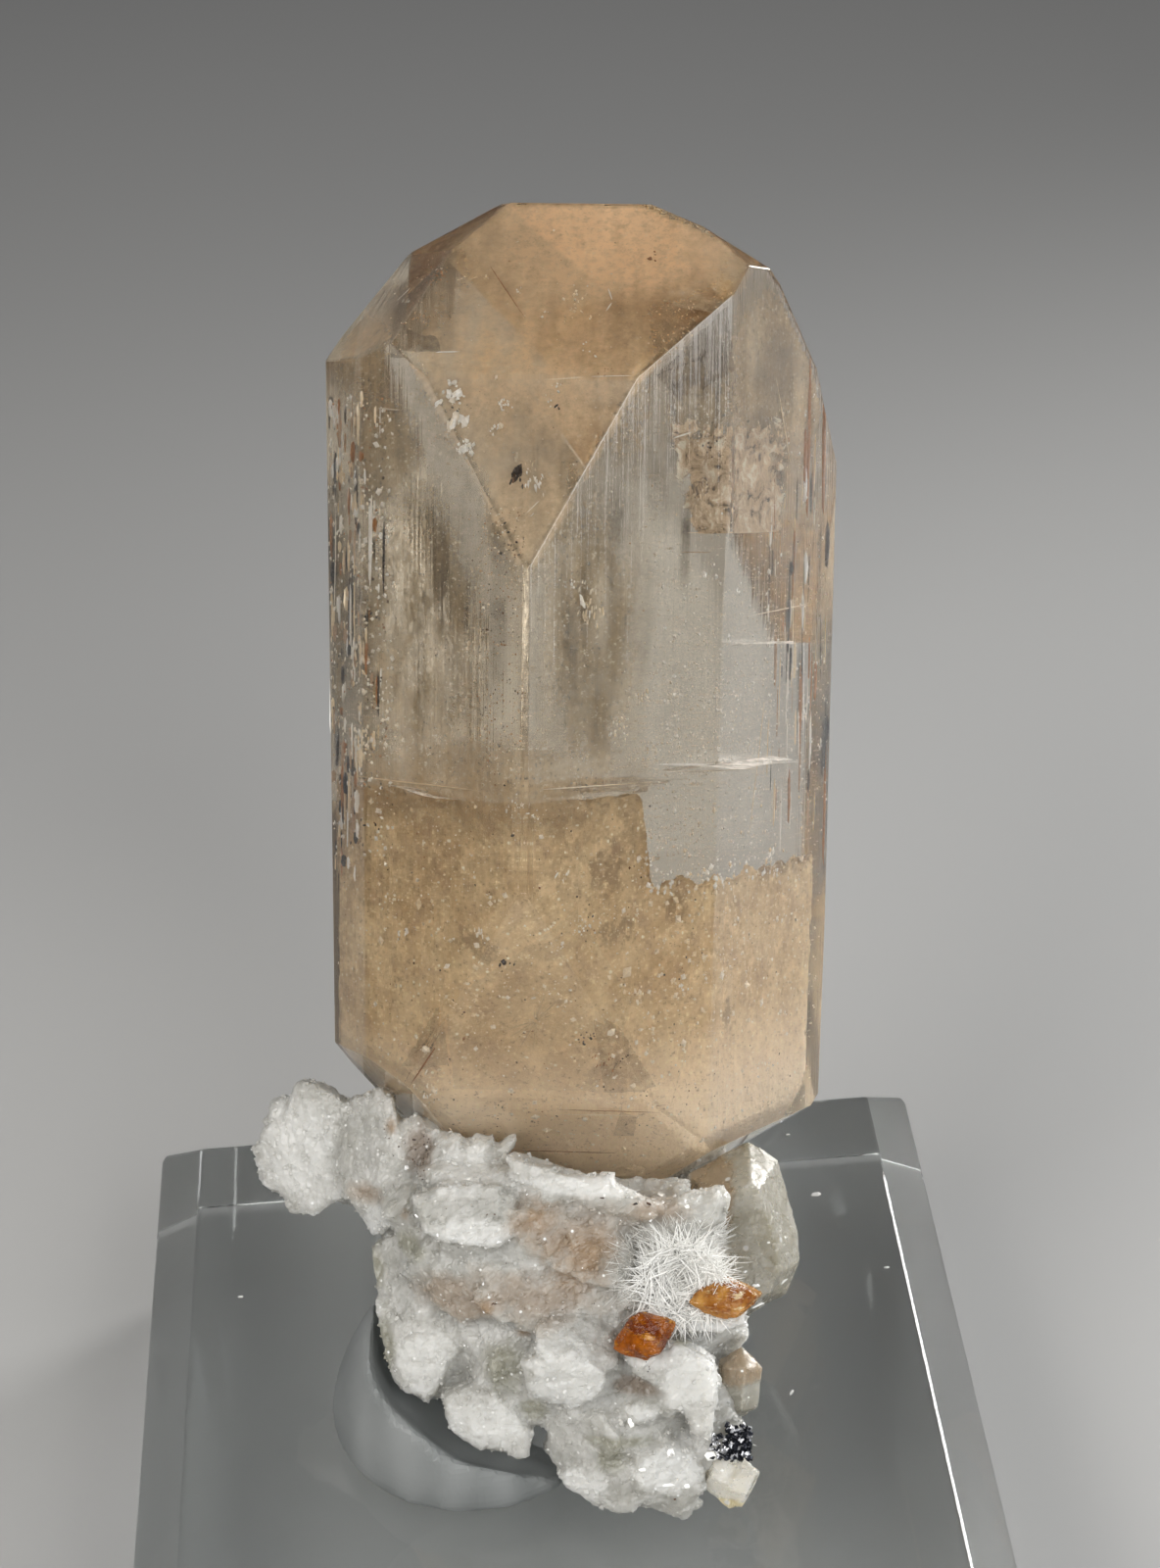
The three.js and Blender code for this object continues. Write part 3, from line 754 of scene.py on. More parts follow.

# black streaks are partly painted dark reflection, white ones painted glints
# Bundles of upright streaks near the edges: right, up, how deep, count, half width and height
streakFields = {
    "leftEdge": ((-9.2, -7.0), (-13.5, 7.0), (0.15, 1.2), 300, (0.075, 1.0)),
    "leftInner": ((-7.6, -6.0), (-9.5, 6.5), (0.2, 1.4), 70, (0.045, 1.1)),
    "rightEdge": ((11.2, 13.3), (-12.5, 5.5), (0.15, 0.8), 80, (0.075, 3.0)),
    "rightInner": ((10.0, 11.4), (-12.0, 3.5), (0.3, 1.6), 40, (0.04, 2.2)),
}
streakShades = {"tones": [0.0, 0.12, 0.35, 0.5, 0.8, 1.0], "shares": [0.12, 0.12, 0.14, 0.14, 0.24, 0.24]}

# white clusters are painted glints
# Clusters of larger flaws: right, up, reach, count, size, height over width, shade
flawClusters = [
    (-3.2, 7.1, 0.40, 34, 0.17, 1.2, 1.0), (-2.9, 5.9, 0.22, 9, 0.40, 1.7, 1.0),
    (-2.6, 4.9, 0.25, 22, 0.19, 1.4, 1.0), (-3.0, 6.4, 0.35, 7, 0.10, 1.0, 0.05),
    (-1.1, 6.6, 0.25, 20, 0.15, 1.0, 1.0), (-1.5, 5.6, 0.20, 12, 0.15, 1.3, 1.0),
    (1.1, 7.3, 0.22, 6, 0.12, 1.2, 1.0), (0.8, 6.7, 0.30, 6, 0.10, 1.0, 0.95),
    (1.0, 6.4, 0.15, 3, 0.12, 2.0, 0.05), (-0.55, 3.7, 0.25, 12, 0.16, 2.2, 0.15),
    (0.35, 3.5, 0.32, 16, 0.11, 2.8, 1.0), (0.1, 4.1, 0.35, 8, 0.10, 2.4, 0.7),
    (1.7, -0.4, 0.25, 7, 0.16, 1.0, 1.0), (2.6, -1.6, 0.55, 20, 0.13, 3.2, 0.85),
    (2.2, -0.7, 0.3, 8, 0.11, 2.0, 0.9), (3.7, -6.6, 0.45, 26, 0.13, 1.2, 0.92),
    (4.6, -5.2, 0.35, 14, 0.12, 1.8, 0.88), (5.2, -7.6, 0.35, 22, 0.13, 1.0, 0.92),
    (4.3, -7.9, 0.60, 22, 0.10, 1.0, 0.95), (6.8, -8.0, 0.30, 14, 0.10, 1.0, 1.0),
    (9.6, -7.8, 0.35, 14, 0.10, 1.2, 0.9), (-5.4, 11.0, 0.18, 5, 0.16, 2.0, 1.0),
    (-4.1, 12.0, 0.40, 26, 0.09, 1.5, 0.4), (-4.6, 10.2, 0.6, 22, 0.08, 1.6, 0.5),
    (1.6, 10.9, 0.75, 26, 0.12, 1.8, 0.82), (2.3, 9.0, 0.25, 5, 0.10, 1.0, 1.0),
    (-0.7, 11.4, 0.12, 4, 0.13, 1.0, 1.0), (0.4, 10.4, 0.12, 3, 0.12, 1.0, 1.0),
    (5.0, 13.0, 0.22, 4, 0.16, 1.0, 0.3), (3.1, 7.9, 0.30, 9, 0.10, 1.0, 0.4),
    (7.2, 5.9, 0.55, 22, 0.10, 0.8, 0.9), (6.5, 5.2, 0.45, 14, 0.10, 0.7, 0.85),
    (7.3, 5.0, 0.35, 12, 0.12, 1.0, 0.1), (7.0, 3.0, 0.55, 26, 0.12, 1.8, 0.75),
    (9.0, 2.8, 0.50, 22, 0.12, 1.8, 0.75), (8.1, 2.0, 0.9, 26, 0.09, 0.8, 0.9),
    (10.5, 6.5, 0.35, 12, 0.13, 1.8, 0.85), (11.0, 5.3, 0.30, 8, 0.12, 1.8, 0.5),
    (13.0, -4.6, 0.25, 8, 0.17, 1.2, 1.0), (13.1, -8.4, 0.25, 8, 0.19, 1.6, 1.0),
    (12.0, -6.9, 0.25, 8, 0.15, 3.0, 1.0), (-7.0, -4.0, 0.32, 12, 0.22, 1.8, 0.9),
    (-8.5, -3.8, 0.30, 10, 0.20, 1.5, 0.9), (-6.8, -7.4, 0.50, 30, 0.17, 1.3, 0.92),
    (-8.4, -7.0, 0.30, 16, 0.16, 2.0, 0.9), (-6.4, 2.2, 0.30, 12, 0.13, 2.2, 0.92),
    (-5.9, 1.1, 0.16, 4, 0.22, 1.5, 1.0), (-7.0, 3.4, 0.35, 12, 0.11, 1.6, 0.9),
    (-0.2, -9.6, 0.45, 26, 0.11, 1.0, 1.0), (1.4, -12.4, 0.25, 8, 0.09, 2.5, 0.95),
    (2.2, -14.6, 0.45, 26, 0.10, 0.8, 1.0), (1.3, -15.3, 0.30, 16, 0.10, 0.8, 1.0),
    (3.4, -14.3, 0.40, 10, 0.09, 1.0, 0.95), (4.9, -12.2, 0.30, 10, 0.18, 1.0, 1.0),
    (8.0, -12.5, 0.80, 26, 0.11, 0.6, 1.0), (7.0, -13.6, 0.60, 12, 0.15, 0.8, 0.92),
    (10.7, -13.5, 0.25, 6, 0.22, 1.6, 0.92), (6.6, -17.8, 0.25, 5, 0.20, 0.8, 1.0),
    (8.6, -16.5, 0.90, 16, 0.14, 0.8, 0.88), (1.3, -17.3, 0.55, 14, 0.14, 0.7, 0.92),
    (-5.7, -14.1, 0.45, 12, 0.17, 0.7, 0.9), (-5.0, -15.4, 0.3, 6, 0.14, 1.4, 1.0),
    (-1.7, -14.9, 0.2, 5, 0.13, 2.4, 0.95), (-4.0, -22.0, 0.5, 14, 0.13, 2.8, 0.92),
    (-2.3, -17.9, 0.4, 10, 0.12, 0.8, 0.88), (10.3, -22.5, 0.6, 16, 0.12, 0.7, 1.0),
    (2.6, -19.5, 0.35, 12, 0.14, 1.0, 0.12), (-0.8, -16.0, 0.25, 8, 0.13, 1.2, 0.15),
    (3.4, -20.6, 0.5, 12, 0.10, 1.8, 0.35),
]

# Single fine lines: start and end by right and up, half width, shade
fineLines = [
    ((-4.1, 8.7), (-2.9, 8.75), 0.05, 1.0), ((5.7, 5.4), (6.7, 5.75), 0.045, 0.95),
    ((8.9, -2.2), (12.9, -1.8), 0.035, 0.9), ((6.0, 0.7), (7.6, 0.65), 0.03, 0.55),
    ((-3.6, -19.8), (-5.0, -22.1), 0.05, 0.3), ((0.9, -22.9), (6.2, -22.9), 0.04, 0.42),
    ((1.0, -23.2), (5.6, -23.2), 0.04, 0.85), ((-1.4, -25.3), (4.6, -25.4), 0.05, 0.45),
    ((-0.1, 2.2), (0.5, 2.8), 0.03, 0.9), ((3.1, 11.6), (3.3, 11.0), 0.04, 0.95),
    ((3.3, 11.0), (3.0, 10.5), 0.04, 0.95), ((5.8, -23.6), (7.0, -19.8), 0.03, 0.8),
    ((-5.9, 11.0), (-5.2, 11.7), 0.06, 1.0), ((11.8, -6.4), (11.9, -9.2), 0.08, 0.92),
    ((12.6, -1.0), (12.7, -6.0), 0.05, 0.85), ((11.2, 4.2), (10.3, 8.4), 0.05, 0.8),
    ((9.4, -12.6), (10.2, -5.0), 0.05, 0.75), ((0.0, -8.8), (4.8, -8.9), 0.035, 0.9),
    ((4.4, 7.8), (2.3, 7.75), 0.03, 0.95), ((2.3, 7.75), (0.3, 7.65), 0.022, 0.85),
    ((12.0, -3.0), (12.1, -8.5), 0.09, 1.0), ((4.8, -8.15), (8.2, -8.45), 0.07, 1.0),
    ((8.2, -8.45), (11.2, -8.9), 0.065, 1.0), ((5.2, -8.5), (10.2, -8.95), 0.045, 0.95),
    ((11.4, -1.0), (11.5, -6.5), 0.05, 0.9), ((12.85, -2.0), (12.95, -6.0), 0.08, 0.1),
    ((11.9, 1.0), (12.0, -3.0), 0.06, 0.08), ((-8.3, 3.0), (-8.4, -2.5), 0.07, 0.95),
    ((-7.6, 0.5), (-7.7, -5.0), 0.06, 0.15), ((-8.7, -3.0), (-8.8, -8.0), 0.07, 1.0),
    ((-7.9, -9.1), (-1.0, -9.0), 0.04, 0.75), ((-2.2, 12.9), (-0.2, 10.0), 0.035, 0.3),
    ((5.9, 1.5), (10.4, 1.45), 0.04, 0.8),
]

# white is a painted glint, black partly a painted dark reflection
# Shades of the flaws, from black through brown and peach to white
flawStops = [
    (0.0, (0.012, 0.01, 0.012, 1)), (0.18, (0.05, 0.035, 0.028, 1)), (0.35, (0.42, 0.19, 0.07, 1)),
    (0.55, (0.55, 0.42, 0.3, 1)), (0.8, (0.93, 0.78, 0.56, 1)), (1.0, (1, 0.99, 0.96, 1)),
]


def makeToneMaterial():
    material, tree = newMaterial("flawTones")
    grain = grainOn(tree, specimenPlace(tree), 7000.0, 8000.0)
    setShader(tree, {
        "Base Color": colourRamp(tree, attributeValue(tree, "shade"), flawStops),
        "Roughness": spread(tree, grain["Patch"], 0, 1, 0.12, 0.35),
        "IOR": 1.8,
    })
    return material


def makeFlaws():
    rng = np.random.default_rng(21)
    upright = np.array([[0.0, 0.0, 1.0]])
    heap = Heap()

    def under(right, up, depth):
        return spot(right, frontOf(right, up) - depth, up)

    def strewn(rights, ups, depths, count):
        return np.array([under(rng.uniform(*rights), rng.uniform(*ups), rng.uniform(*depths))
                         for _ in range(count)])

    def sizesOf(size, variety, count):
        return size * np.exp(rng.normal(0, variety, count)) * millimetre

    def add(shape, matrices, places, shades, wall=wallGap):
        # what would stick out of a side face is left out
        inside = inTopaz(places, wall)
        if inside.any():
            heap.add(shape, matrices[inside], places[inside], shades[inside])

    for rights, ups, depths, count, size, shades in flawFields.values():
        places = strewn(rights, ups, depths, count)
        sizes = sizesOf(size, 0.3, count)
        scale = np.stack([sizes, sizes * rng.uniform(0.5, 1, count), sizes], axis=1)
        add(flakeShape(4, 0.8), tumbled(rng, scale), places, rng.uniform(*shades, count))
    for rights, ups, depths, count, (width, height) in streakFields.values():
        places = strewn(rights, ups, depths, count)
        widths = sizesOf(width, 0.4, count)
        heights = sizesOf(height * 0.5, 0.5, count)
        scale = np.stack([widths, widths * 2, heights], axis=1)
        lean = upright + rng.normal(scale=0.02, size=(count, 3))
        shades = rng.choice(streakShades["tones"], count, p=streakShades["shares"])
        add(roughStone(rng, 12, 0.8), turnsTo(lean, rng.uniform(-0.3, 0.3, count), scale), places,
            shades, 0.2)
    for right, up, reach, count, size, tall, shade in flawClusters:
        offsets = rng.normal(scale=reach * 0.6, size=(count, 2))
        places = np.array([under(right + x, up + z, rng.uniform(0.25, 0.9)) for x, z in offsets])
        sizes = sizesOf(size * 0.5, 0.35, count)
        scale = np.stack([sizes, sizes * 0.6, sizes * tall], axis=1)
        lean = upright + rng.normal(scale=0.25, size=(count, 3))
        add(roughStone(rng, 10, 0.65), turnsTo(lean, rng.uniform(0, fullTurn, count), scale), places,
            np.clip(shade + rng.normal(scale=0.06, size=count), 0, 1))
    for start, end, width, shade in fineLines:
        first, last = under(*start, 0.5), under(*end, 0.5)
        sizes = np.array([[width * millimetre, width * millimetre, (last - first).length / 2]])
        heap.add(roughStone(rng, 14, 0.8), turnsTo(np.array(last - first)[None], np.zeros(1), sizes),
                 np.array((first + last) / 2)[None], np.array([shade]))
    addPiece("topazFlaws", heap.mesh("topazFlaws"), makeToneMaterial())


# Flat growth sheets with straight edges just under the front: outline by right and up, shade and strength
growthSheets = [
    ([(2.9, -18.6), (3.7, -19.0), (5.4, -22.0), (3.4, -22.1)], (0.44, 0.29, 0.15, 1), 0.26),
    ([(-5.0, -21.2), (-3.4, -18.3), (-3.2, -20.8)], (0.46, 0.31, 0.16, 1), 0.24),
    ([(3.8, -24.3), (4.1, -22.9), (4.8, -23.2), (4.7, -24.3)], (0.44, 0.29, 0.15, 1), 0.24),
    ([(-3.3, -17.9), (1.9, -13.9), (4.3, -18.2), (3.0, -22.0), (-3.0, -22.0)], (0.92, 0.72, 0.45, 1), 0.12),
    ([(4.9, 8.0), (7.9, 11.0), (8.2, 8.3), (6.0, 6.9)], (0.24, 0.16, 0.085, 1), 0.4),
    ([(-3.4, 13.1), (-3.3, 8.6), (-5.6, 8.6), (-5.9, 10.6)], (0.36, 0.29, 0.20, 1), 0.5),
    ([(8.5, 10.0), (10.2, 6.2), (10.9, 4.4), (9.4, 5.0), (8.5, 6.6)], (0.36, 0.25, 0.14, 1), 0.45),
]


sheetDepth = 0.75        # under the front faces; each later sheet lies a little deeper


def makeGrowthSheets():
    for index, (outline, colour, strength) in enumerate(growthSheets):
        rim = rimOf(outline, 0.15)
        middle = (sum(right for right, up in rim) / len(rim), sum(up for right, up in rim) / len(rim))
        corners = []
        for share in (1.0, 0.75, 0.5, 0.25, 0.02):
            for right, up in rim:
                aside = 0.07 * noise.noise(Vector((right * 4, up * 4, index)))
                right = middle[0] + (right - middle[0]) * share + aside
                up = middle[1] + (up - middle[1]) * share - aside
                corners.append(spot(right, frontOf(right, up) - sheetDepth - 0.05 * index, up))
        mesh = asMesh("growthSheet" + str(index + 1), corners, ringFaces(len(rim), 4))
        keepInside(mesh)
        material, tree = newMaterial("growthSheetLook" + str(index + 1))
        clots = noiseValue(tree, specimenPlace(tree), 1500.0, 4.0, 0.7)
        dark = tuple(channel * 0.5 for channel in colour[:3]) + (1,)
        setShader(tree, {
            "Base Color": colourMix(tree, spread(tree, clots, 0.35, 0.6), dark, colour),
            "Roughness": 0.5,
            "Alpha": spread(tree, clots, 0.3, 0.7, strength * 1.4, strength * 0.5),
        })
        addPiece(mesh.name, mesh, material)


# Hazy veils just under the front faces: right, up, half width, half height, strength and warmth
veilZones = [
    (-4.4, -2.5, 4.4, 9.0, 0.9, 0.35), (-5.8, 5.0, 2.6, 3.6, 0.85, 0.5), (2.3, -2.5, 2.9, 9.0, 0.92, 0.5),
    (0.4, 8.0, 7.4, 6.6, 0.92, 0.75), (2.6, 13.6, 7.4, 4.2, 1.3, 1.0), (0.0, 2.5, 2.6, 4.5, 0.9, 0.6),
    (-2.2, -8.6, 8.4, 2.8, 0.8, 1.0), (10.5, 8.2, 3.0, 5.2, 1.4, 1.0), (12.2, -3.0, 1.0, 8.0, 0.7, 0.3),
    (-8.2, -3.0, 0.9, 9.0, 0.8, 0.2), (6.8, 6.6, 2.4, 4.0, 0.85, 0.6), (-7.0, 8.5, 2.0, 3.0, 0.9, 0.9),
]
# Painted shade, dark places standing in for shade: right, up, half width, half height and strength
paintedShadeZones = [
    (10.2, 8.6, 1.5, 3.2, 0.35), (7.2, 8.4, 0.9, 1.8, 0.3), (-0.95, -2.0, 0.6, 5.0, 0.55),
    (-2.2, 3.0, 0.6, 3.4, 0.4), (5.0, 3.6, 0.7, 2.6, 0.35), (9.6, 6.0, 0.6, 1.5, 0.5),
    (12.7, 0.0, 0.22, 3.4, 1.0), (11.7, -6.0, 0.2, 3.0, 1.0), (-8.4, 0.5, 0.25, 2.6, 0.9),
    (-8.2, -7.5, 0.3, 2.0, 0.8), (-7.3, -2.0, 0.2, 2.4, 0.8), (-4.9, 10.3, 0.6, 2.0, 0.3),
    (10.6, 3.6, 0.3, 2.0, 0.7), (-3.4, -0.5, 0.5, 3.0, 0.4), (3.4, 2.0, 0.5, 2.6, 0.5),
    (1.6, -3.4, 0.3, 2.6, 0.4), (6.2, 1.2, 0.3, 2.6, 0.7),
]
# Bright wisps and hazy bands: right, up, half width, half height and strength
brightWisps = [
    (2.7, -1.4, 0.32, 1.9, 0.9), (3.7, 0.2, 0.22, 2.6, 0.6), (-5.5, -5.6, 1.1, 4.6, 0.6),
    (-3.6, -4.4, 0.5, 5.0, 0.4), (0.6, -3.0, 0.35, 6.0, 0.5), (4.1, -5.6, 0.9, 2.2, 0.7),
    (1.8, -8.1, 2.4, 0.8, 0.7), (-5.5, 3.8, 0.4, 2.6, 0.5), (11.4, 7.0, 0.5, 3.0, 0.7),
    (-4.2, 2.6, 0.25, 3.6, 0.35), (9.2, 9.4, 0.6, 2.2, 0.5), (-6.9, 0.2, 0.25, 3.0, 0.6),
    (12.1, -4.0, 0.16, 5.0, 0.9), (11.1, -5.2, 0.12, 4.0, 0.7), (1.6, 0.0, 0.2, 2.2, 0.5),
    (5.4, -1.8, 0.25, 3.2, 0.35),
]
# Where the veils thin out, so that the crystal is clear: the same values
clearZones = [
    (7.9, -5.4, 3.3, 7.6, 1.4), (8.2, 3.6, 2.6, 2.4, 0.5),
]

veilLook = {
    "right": (-8.9, 13.2),
    "up": (-13.0, 15.45),
    "spacing": 0.2,
    "fields": ("veil", "warm", "dark", "dome", "wisp"),
    # painted light and shade: side faces get a dark tone, up-facing faces a lighter one
    "side": ((0.20, 0.155, 0.085, 1), (0.42, 0.30, 0.165, 1)),       # a cool and a warm tone
    "dome": ((0.46, 0.38, 0.25, 1), (0.88, 0.62, 0.36, 1)),
    "lines": (0.54, 0.43, 0.28, 1),
    "grooves": (0.10, 0.08, 0.055, 1),
    "low": (0.62, 0.45, 0.26, 1),
    "wisp": (0.70, 0.57, 0.39, 1),
    "clots": (0.34, 0.25, 0.15, 1),
    "upper": (0.66, 0.50, 0.32, 1),
    "sector": (0.96, 0.67, 0.40, 1),
    "lower": (0.58, 0.47, 0.34, 1),
    "crumbs": (0.95, 0.88, 0.72, 1),
    "pores": (0.07, 0.055, 0.035, 1),
    "paintedShade": (0.085, 0.062, 0.038, 1),
    "sectorLine": (0.667, 0.0, 0.745),       # a growth sector begins across this direction
}


def zonePull(right, up, zone):
    away = math.hypot((right - zone[0]) / zone[2], (up - zone[1]) / zone[3])
    return zone[4] * min(max(1.6 - 1.6 * away, 0), 1)


def strongest(right, up, zones):
    return max(zonePull(right, up, zone) for zone in zones)


def makeVeilMaterial():
    look = veilLook
    material, tree = newMaterial("veilHaze")
    place = specimenPlace(tree)
    marks = marksOn(tree, place, 1500.0, 160.0)
    values = {name: attributeValue(tree, name) for name in look["fields"]}
    crumbs = noiseValue(tree, place, 5200.0, 3.0, 0.7)
    clots = noiseValue(tree, place, 700.0, 4.0, 0.65)
    height = heightOf(tree, place)
    # painted shade: the dark tone of the side faces
    side = layered(tree, colourMix(tree, values["warm"], *look["side"]), [
        (spread(tree, marks["Lines"], 0.2, 1, 0.0, 0.5), look["lines"]),
        (spread(tree, marks["Lines"], 0.0, 0.35, 0.5, 0.0), look["grooves"]),
        (spread(tree, height, -0.011, -0.0065, 0.8, 0.0), look["low"]),
        (values["wisp"], look["wisp"]),
    ])
    across = vectorMath(tree, "DOT_PRODUCT", place, look["sectorLine"])["Value"]
    upper = spread(tree, height, 0.0095, 0.0125)
    sector = sums(tree, "MULTIPLY", spread(tree, across, 0.0103, 0.0105), upper)
    # painted light: the lighter tone of the up-facing faces
    dome = layered(tree, colourMix(tree, values["warm"], *look["dome"]), [
        (spread(tree, clots, 0.52, 0.66, 0.0, 0.4), look["clots"]),
        (sums(tree, "MULTIPLY", upper, 0.55), look["upper"]),
        (sums(tree, "MULTIPLY", sector, 0.8), look["sector"]),
        (spread(tree, height, 0.00755, 0.0077, 0.4, 0.0), look["lower"]),
    ])
    rough = spread(tree, values["dome"], 0.0, 1.0, 1.0, 0.3)
    tone = layered(tree, colourMix(tree, values["dome"], side, dome), [
        (sums(tree, "MULTIPLY", spread(tree, crumbs, 0.58, 0.68, 0.0, 0.75), rough), look["crumbs"]),
        (sums(tree, "MULTIPLY", spread(tree, crumbs, 0.32, 0.42, 0.75, 0.0), rough), look["pores"]),
        # painted shade in the dark zones
        (values["dark"], look["paintedShade"]),
    ])
    cloudy = noiseValue(tree, place, 2200.0, 4.0, 0.75)
    torn = sums(tree, "MULTIPLY", values["veil"], spread(tree, cloudy, 0.3, 0.7, 0.75, 1.25))
    setShader(tree, {"Base Color": tone, "Roughness": 0.5, "Alpha": torn})
    return material


def makeVeil():
    rights = np.arange(*veilLook["right"], veilLook["spacing"])
    ups = np.arange(*veilLook["up"], veilLook["spacing"])
    corners = []
    fields = {name: [] for name in veilLook["fields"]}
    for up in ups:
        for right in rights:
            front, upward = frontFace(right, up)
            dome = upward > topazLook["sideFace"]
            wave = noise.fractal(Vector((right * 0.35, up * 0.2, 3.0)), 1.0, 2.0, 3)
            edge = (0.35 + 0.6 * max(13.4 - right, 0), 0.35 + 0.6 * max(right + 9.0, 0))
            corners.append(spot(right, front - min(1.0 + 0.4 * wave, *edge), up))
            pulls = [zonePull(right, up, zone) for zone in veilZones]
            drawn = noise.fractal(Vector((right * 1.3, up * 0.35, 7.0)), 1.0, 2.0, 4)
            amount = max(pulls) * (0.85 + 0.35 * drawn)
            amount -= strongest(right, up, clearZones)
            if right > 5.6 and up < 1.5:
                amount -= 0.8
            ragged = 1 + 0.5 * noise.fractal(Vector((right * 1.1, up * 0.9, 11.0)), 1.0, 2.0, 4)
            # painted shade: dark zones, left off the up-facing faces right of -3; they also make the veil
            # opaque
            dark = 0 if dome and right > -3 else strongest(right, up, paintedShadeZones) * ragged
            room = (topazDistances - topazNormals @ np.array(corners[-1][:])).min() / millimetre
            fade = min(max((room - wallGap) / 0.3, 0), 1)
            warmth = sum(pull * zone[5] for pull, zone in zip(pulls, veilZones)) / max(sum(pulls), 0.01)
            fields["dark"].append(min(dark * 1.2, 1))
            fields["wisp"].append(min(strongest(right, up, brightWisps) * ragged, 1))
            fields["dome"].append(1.0 if dome else 0.0)
            fields["veil"].append(min(max(amount, dark * 0.85, 0), 0.95) * fade)
            fields["warm"].append(warmth)
    faces = [square for square in gridFaces(len(ups), len(rights))
             if max(fields["veil"][corner] for corner in square) > 0.01]
    mesh = asMesh("topazVeil", corners, faces)
    for name, values in fields.items():
        setAttribute(mesh, name, values)
    keepInside(mesh)
    mesh.shade_smooth()
    addPiece("topazVeil", mesh, makeVeilMaterial())


tornPatch = {
    "right": (5.0, 11.1),
    "up": (1.45, 6.9),
    "columns": 64,
    "rows": 60,
    "under": 0.75,
    "split": 8.3,
    "stops": [(0.36, (0.08, 0.05, 0.03, 1)), (0.43, (0.60, 0.44, 0.28, 1)), (0.54, (0.82, 0.64, 0.44, 1)),
              (0.62, (1.0, 0.92, 0.76, 1))],
}


def makeTornPatch():
    # a ragged sheet of tiny cracks with a clean lower edge, split by an upright gap
    left, rightmost = tornPatch["right"]
    highest = tornPatch["up"][1]
    corners, whole = [], []
    for up in np.linspace(*tornPatch["up"], tornPatch["rows"]):
        for right in np.linspace(left, rightmost, tornPatch["columns"]):
            wave = noise.fractal(Vector((right * 1.1, up * 1.1, 2.0)), 1.0, 2.0, 4)
            corners.append(spot(right, frontOf(right, up) - tornPatch["under"] + 0.3 * wave, up))
            side = min(right - left - 0.22 * (highest - up), rightmost - right)
            split = abs(right - tornPatch["split"])
            ragged = 0.95 + 0.6 * noise.fractal(Vector((right * 1.3, up * 1.3, 9.0)), 1.0, 2.0, 4)
            whole.append(max(min(side * 0.9, (highest - up) * 0.5, split * 5.0, 1), 0) * ragged)
    mesh = asMesh("topazTornPatch", corners, gridFaces(tornPatch["rows"], tornPatch["columns"]))
    setAttribute(mesh, "whole", whole)
    keepInside(mesh)
    mesh.shade_smooth()
    material, tree = newMaterial("tornPeach")
    lace = noiseValue(tree, specimenPlace(tree), 1100.0, 5.0, 0.72, 0.9)
    torn = sums(tree, "ADD", attributeValue(tree, "whole"), spread(tree, lace, 0.3, 0.7, -0.55, 0.15))
    setShader(tree, {
        "Base Color": colourRamp(tree, lace, tornPatch["stops"]),
        "Roughness": 0.3,
        "Alpha": spread(tree, torn, 0.16, 0.3, 0.0, 0.92),
        "Normal": bumped(tree, lace, 0.0005, 1.0),
    })
    addPiece("topazTornPatch", mesh, material)


albiteLook = {
    "coreVoxel": 0.25,
    "bodyVoxel": 0.2,
    "voxel": 0.138,
    "drawnIn": 0.35,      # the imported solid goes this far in, under the lumps and plates below
    "blades": 7,
    "plateStep": 0.22,    # distance between the corners of a plate's rim
    "scales": 900,
    "crust": 6000,
    "paintedGlints": 70,
    "coarseFacets": (0.9, 0.0002),       # size in mm and height of the facets
    "fineFacets": (0.4, 0.00013),
    "grey": (0.35, 0.345, 0.315, 1),
    "pale": (0.51, 0.505, 0.48, 1),
    "sugar": (0.66, 0.66, 0.63, 1),
    "pores": (0.16, 0.14, 0.11, 1),
    "paintedGlint": (0.8, 0.8, 0.78, 1),
}

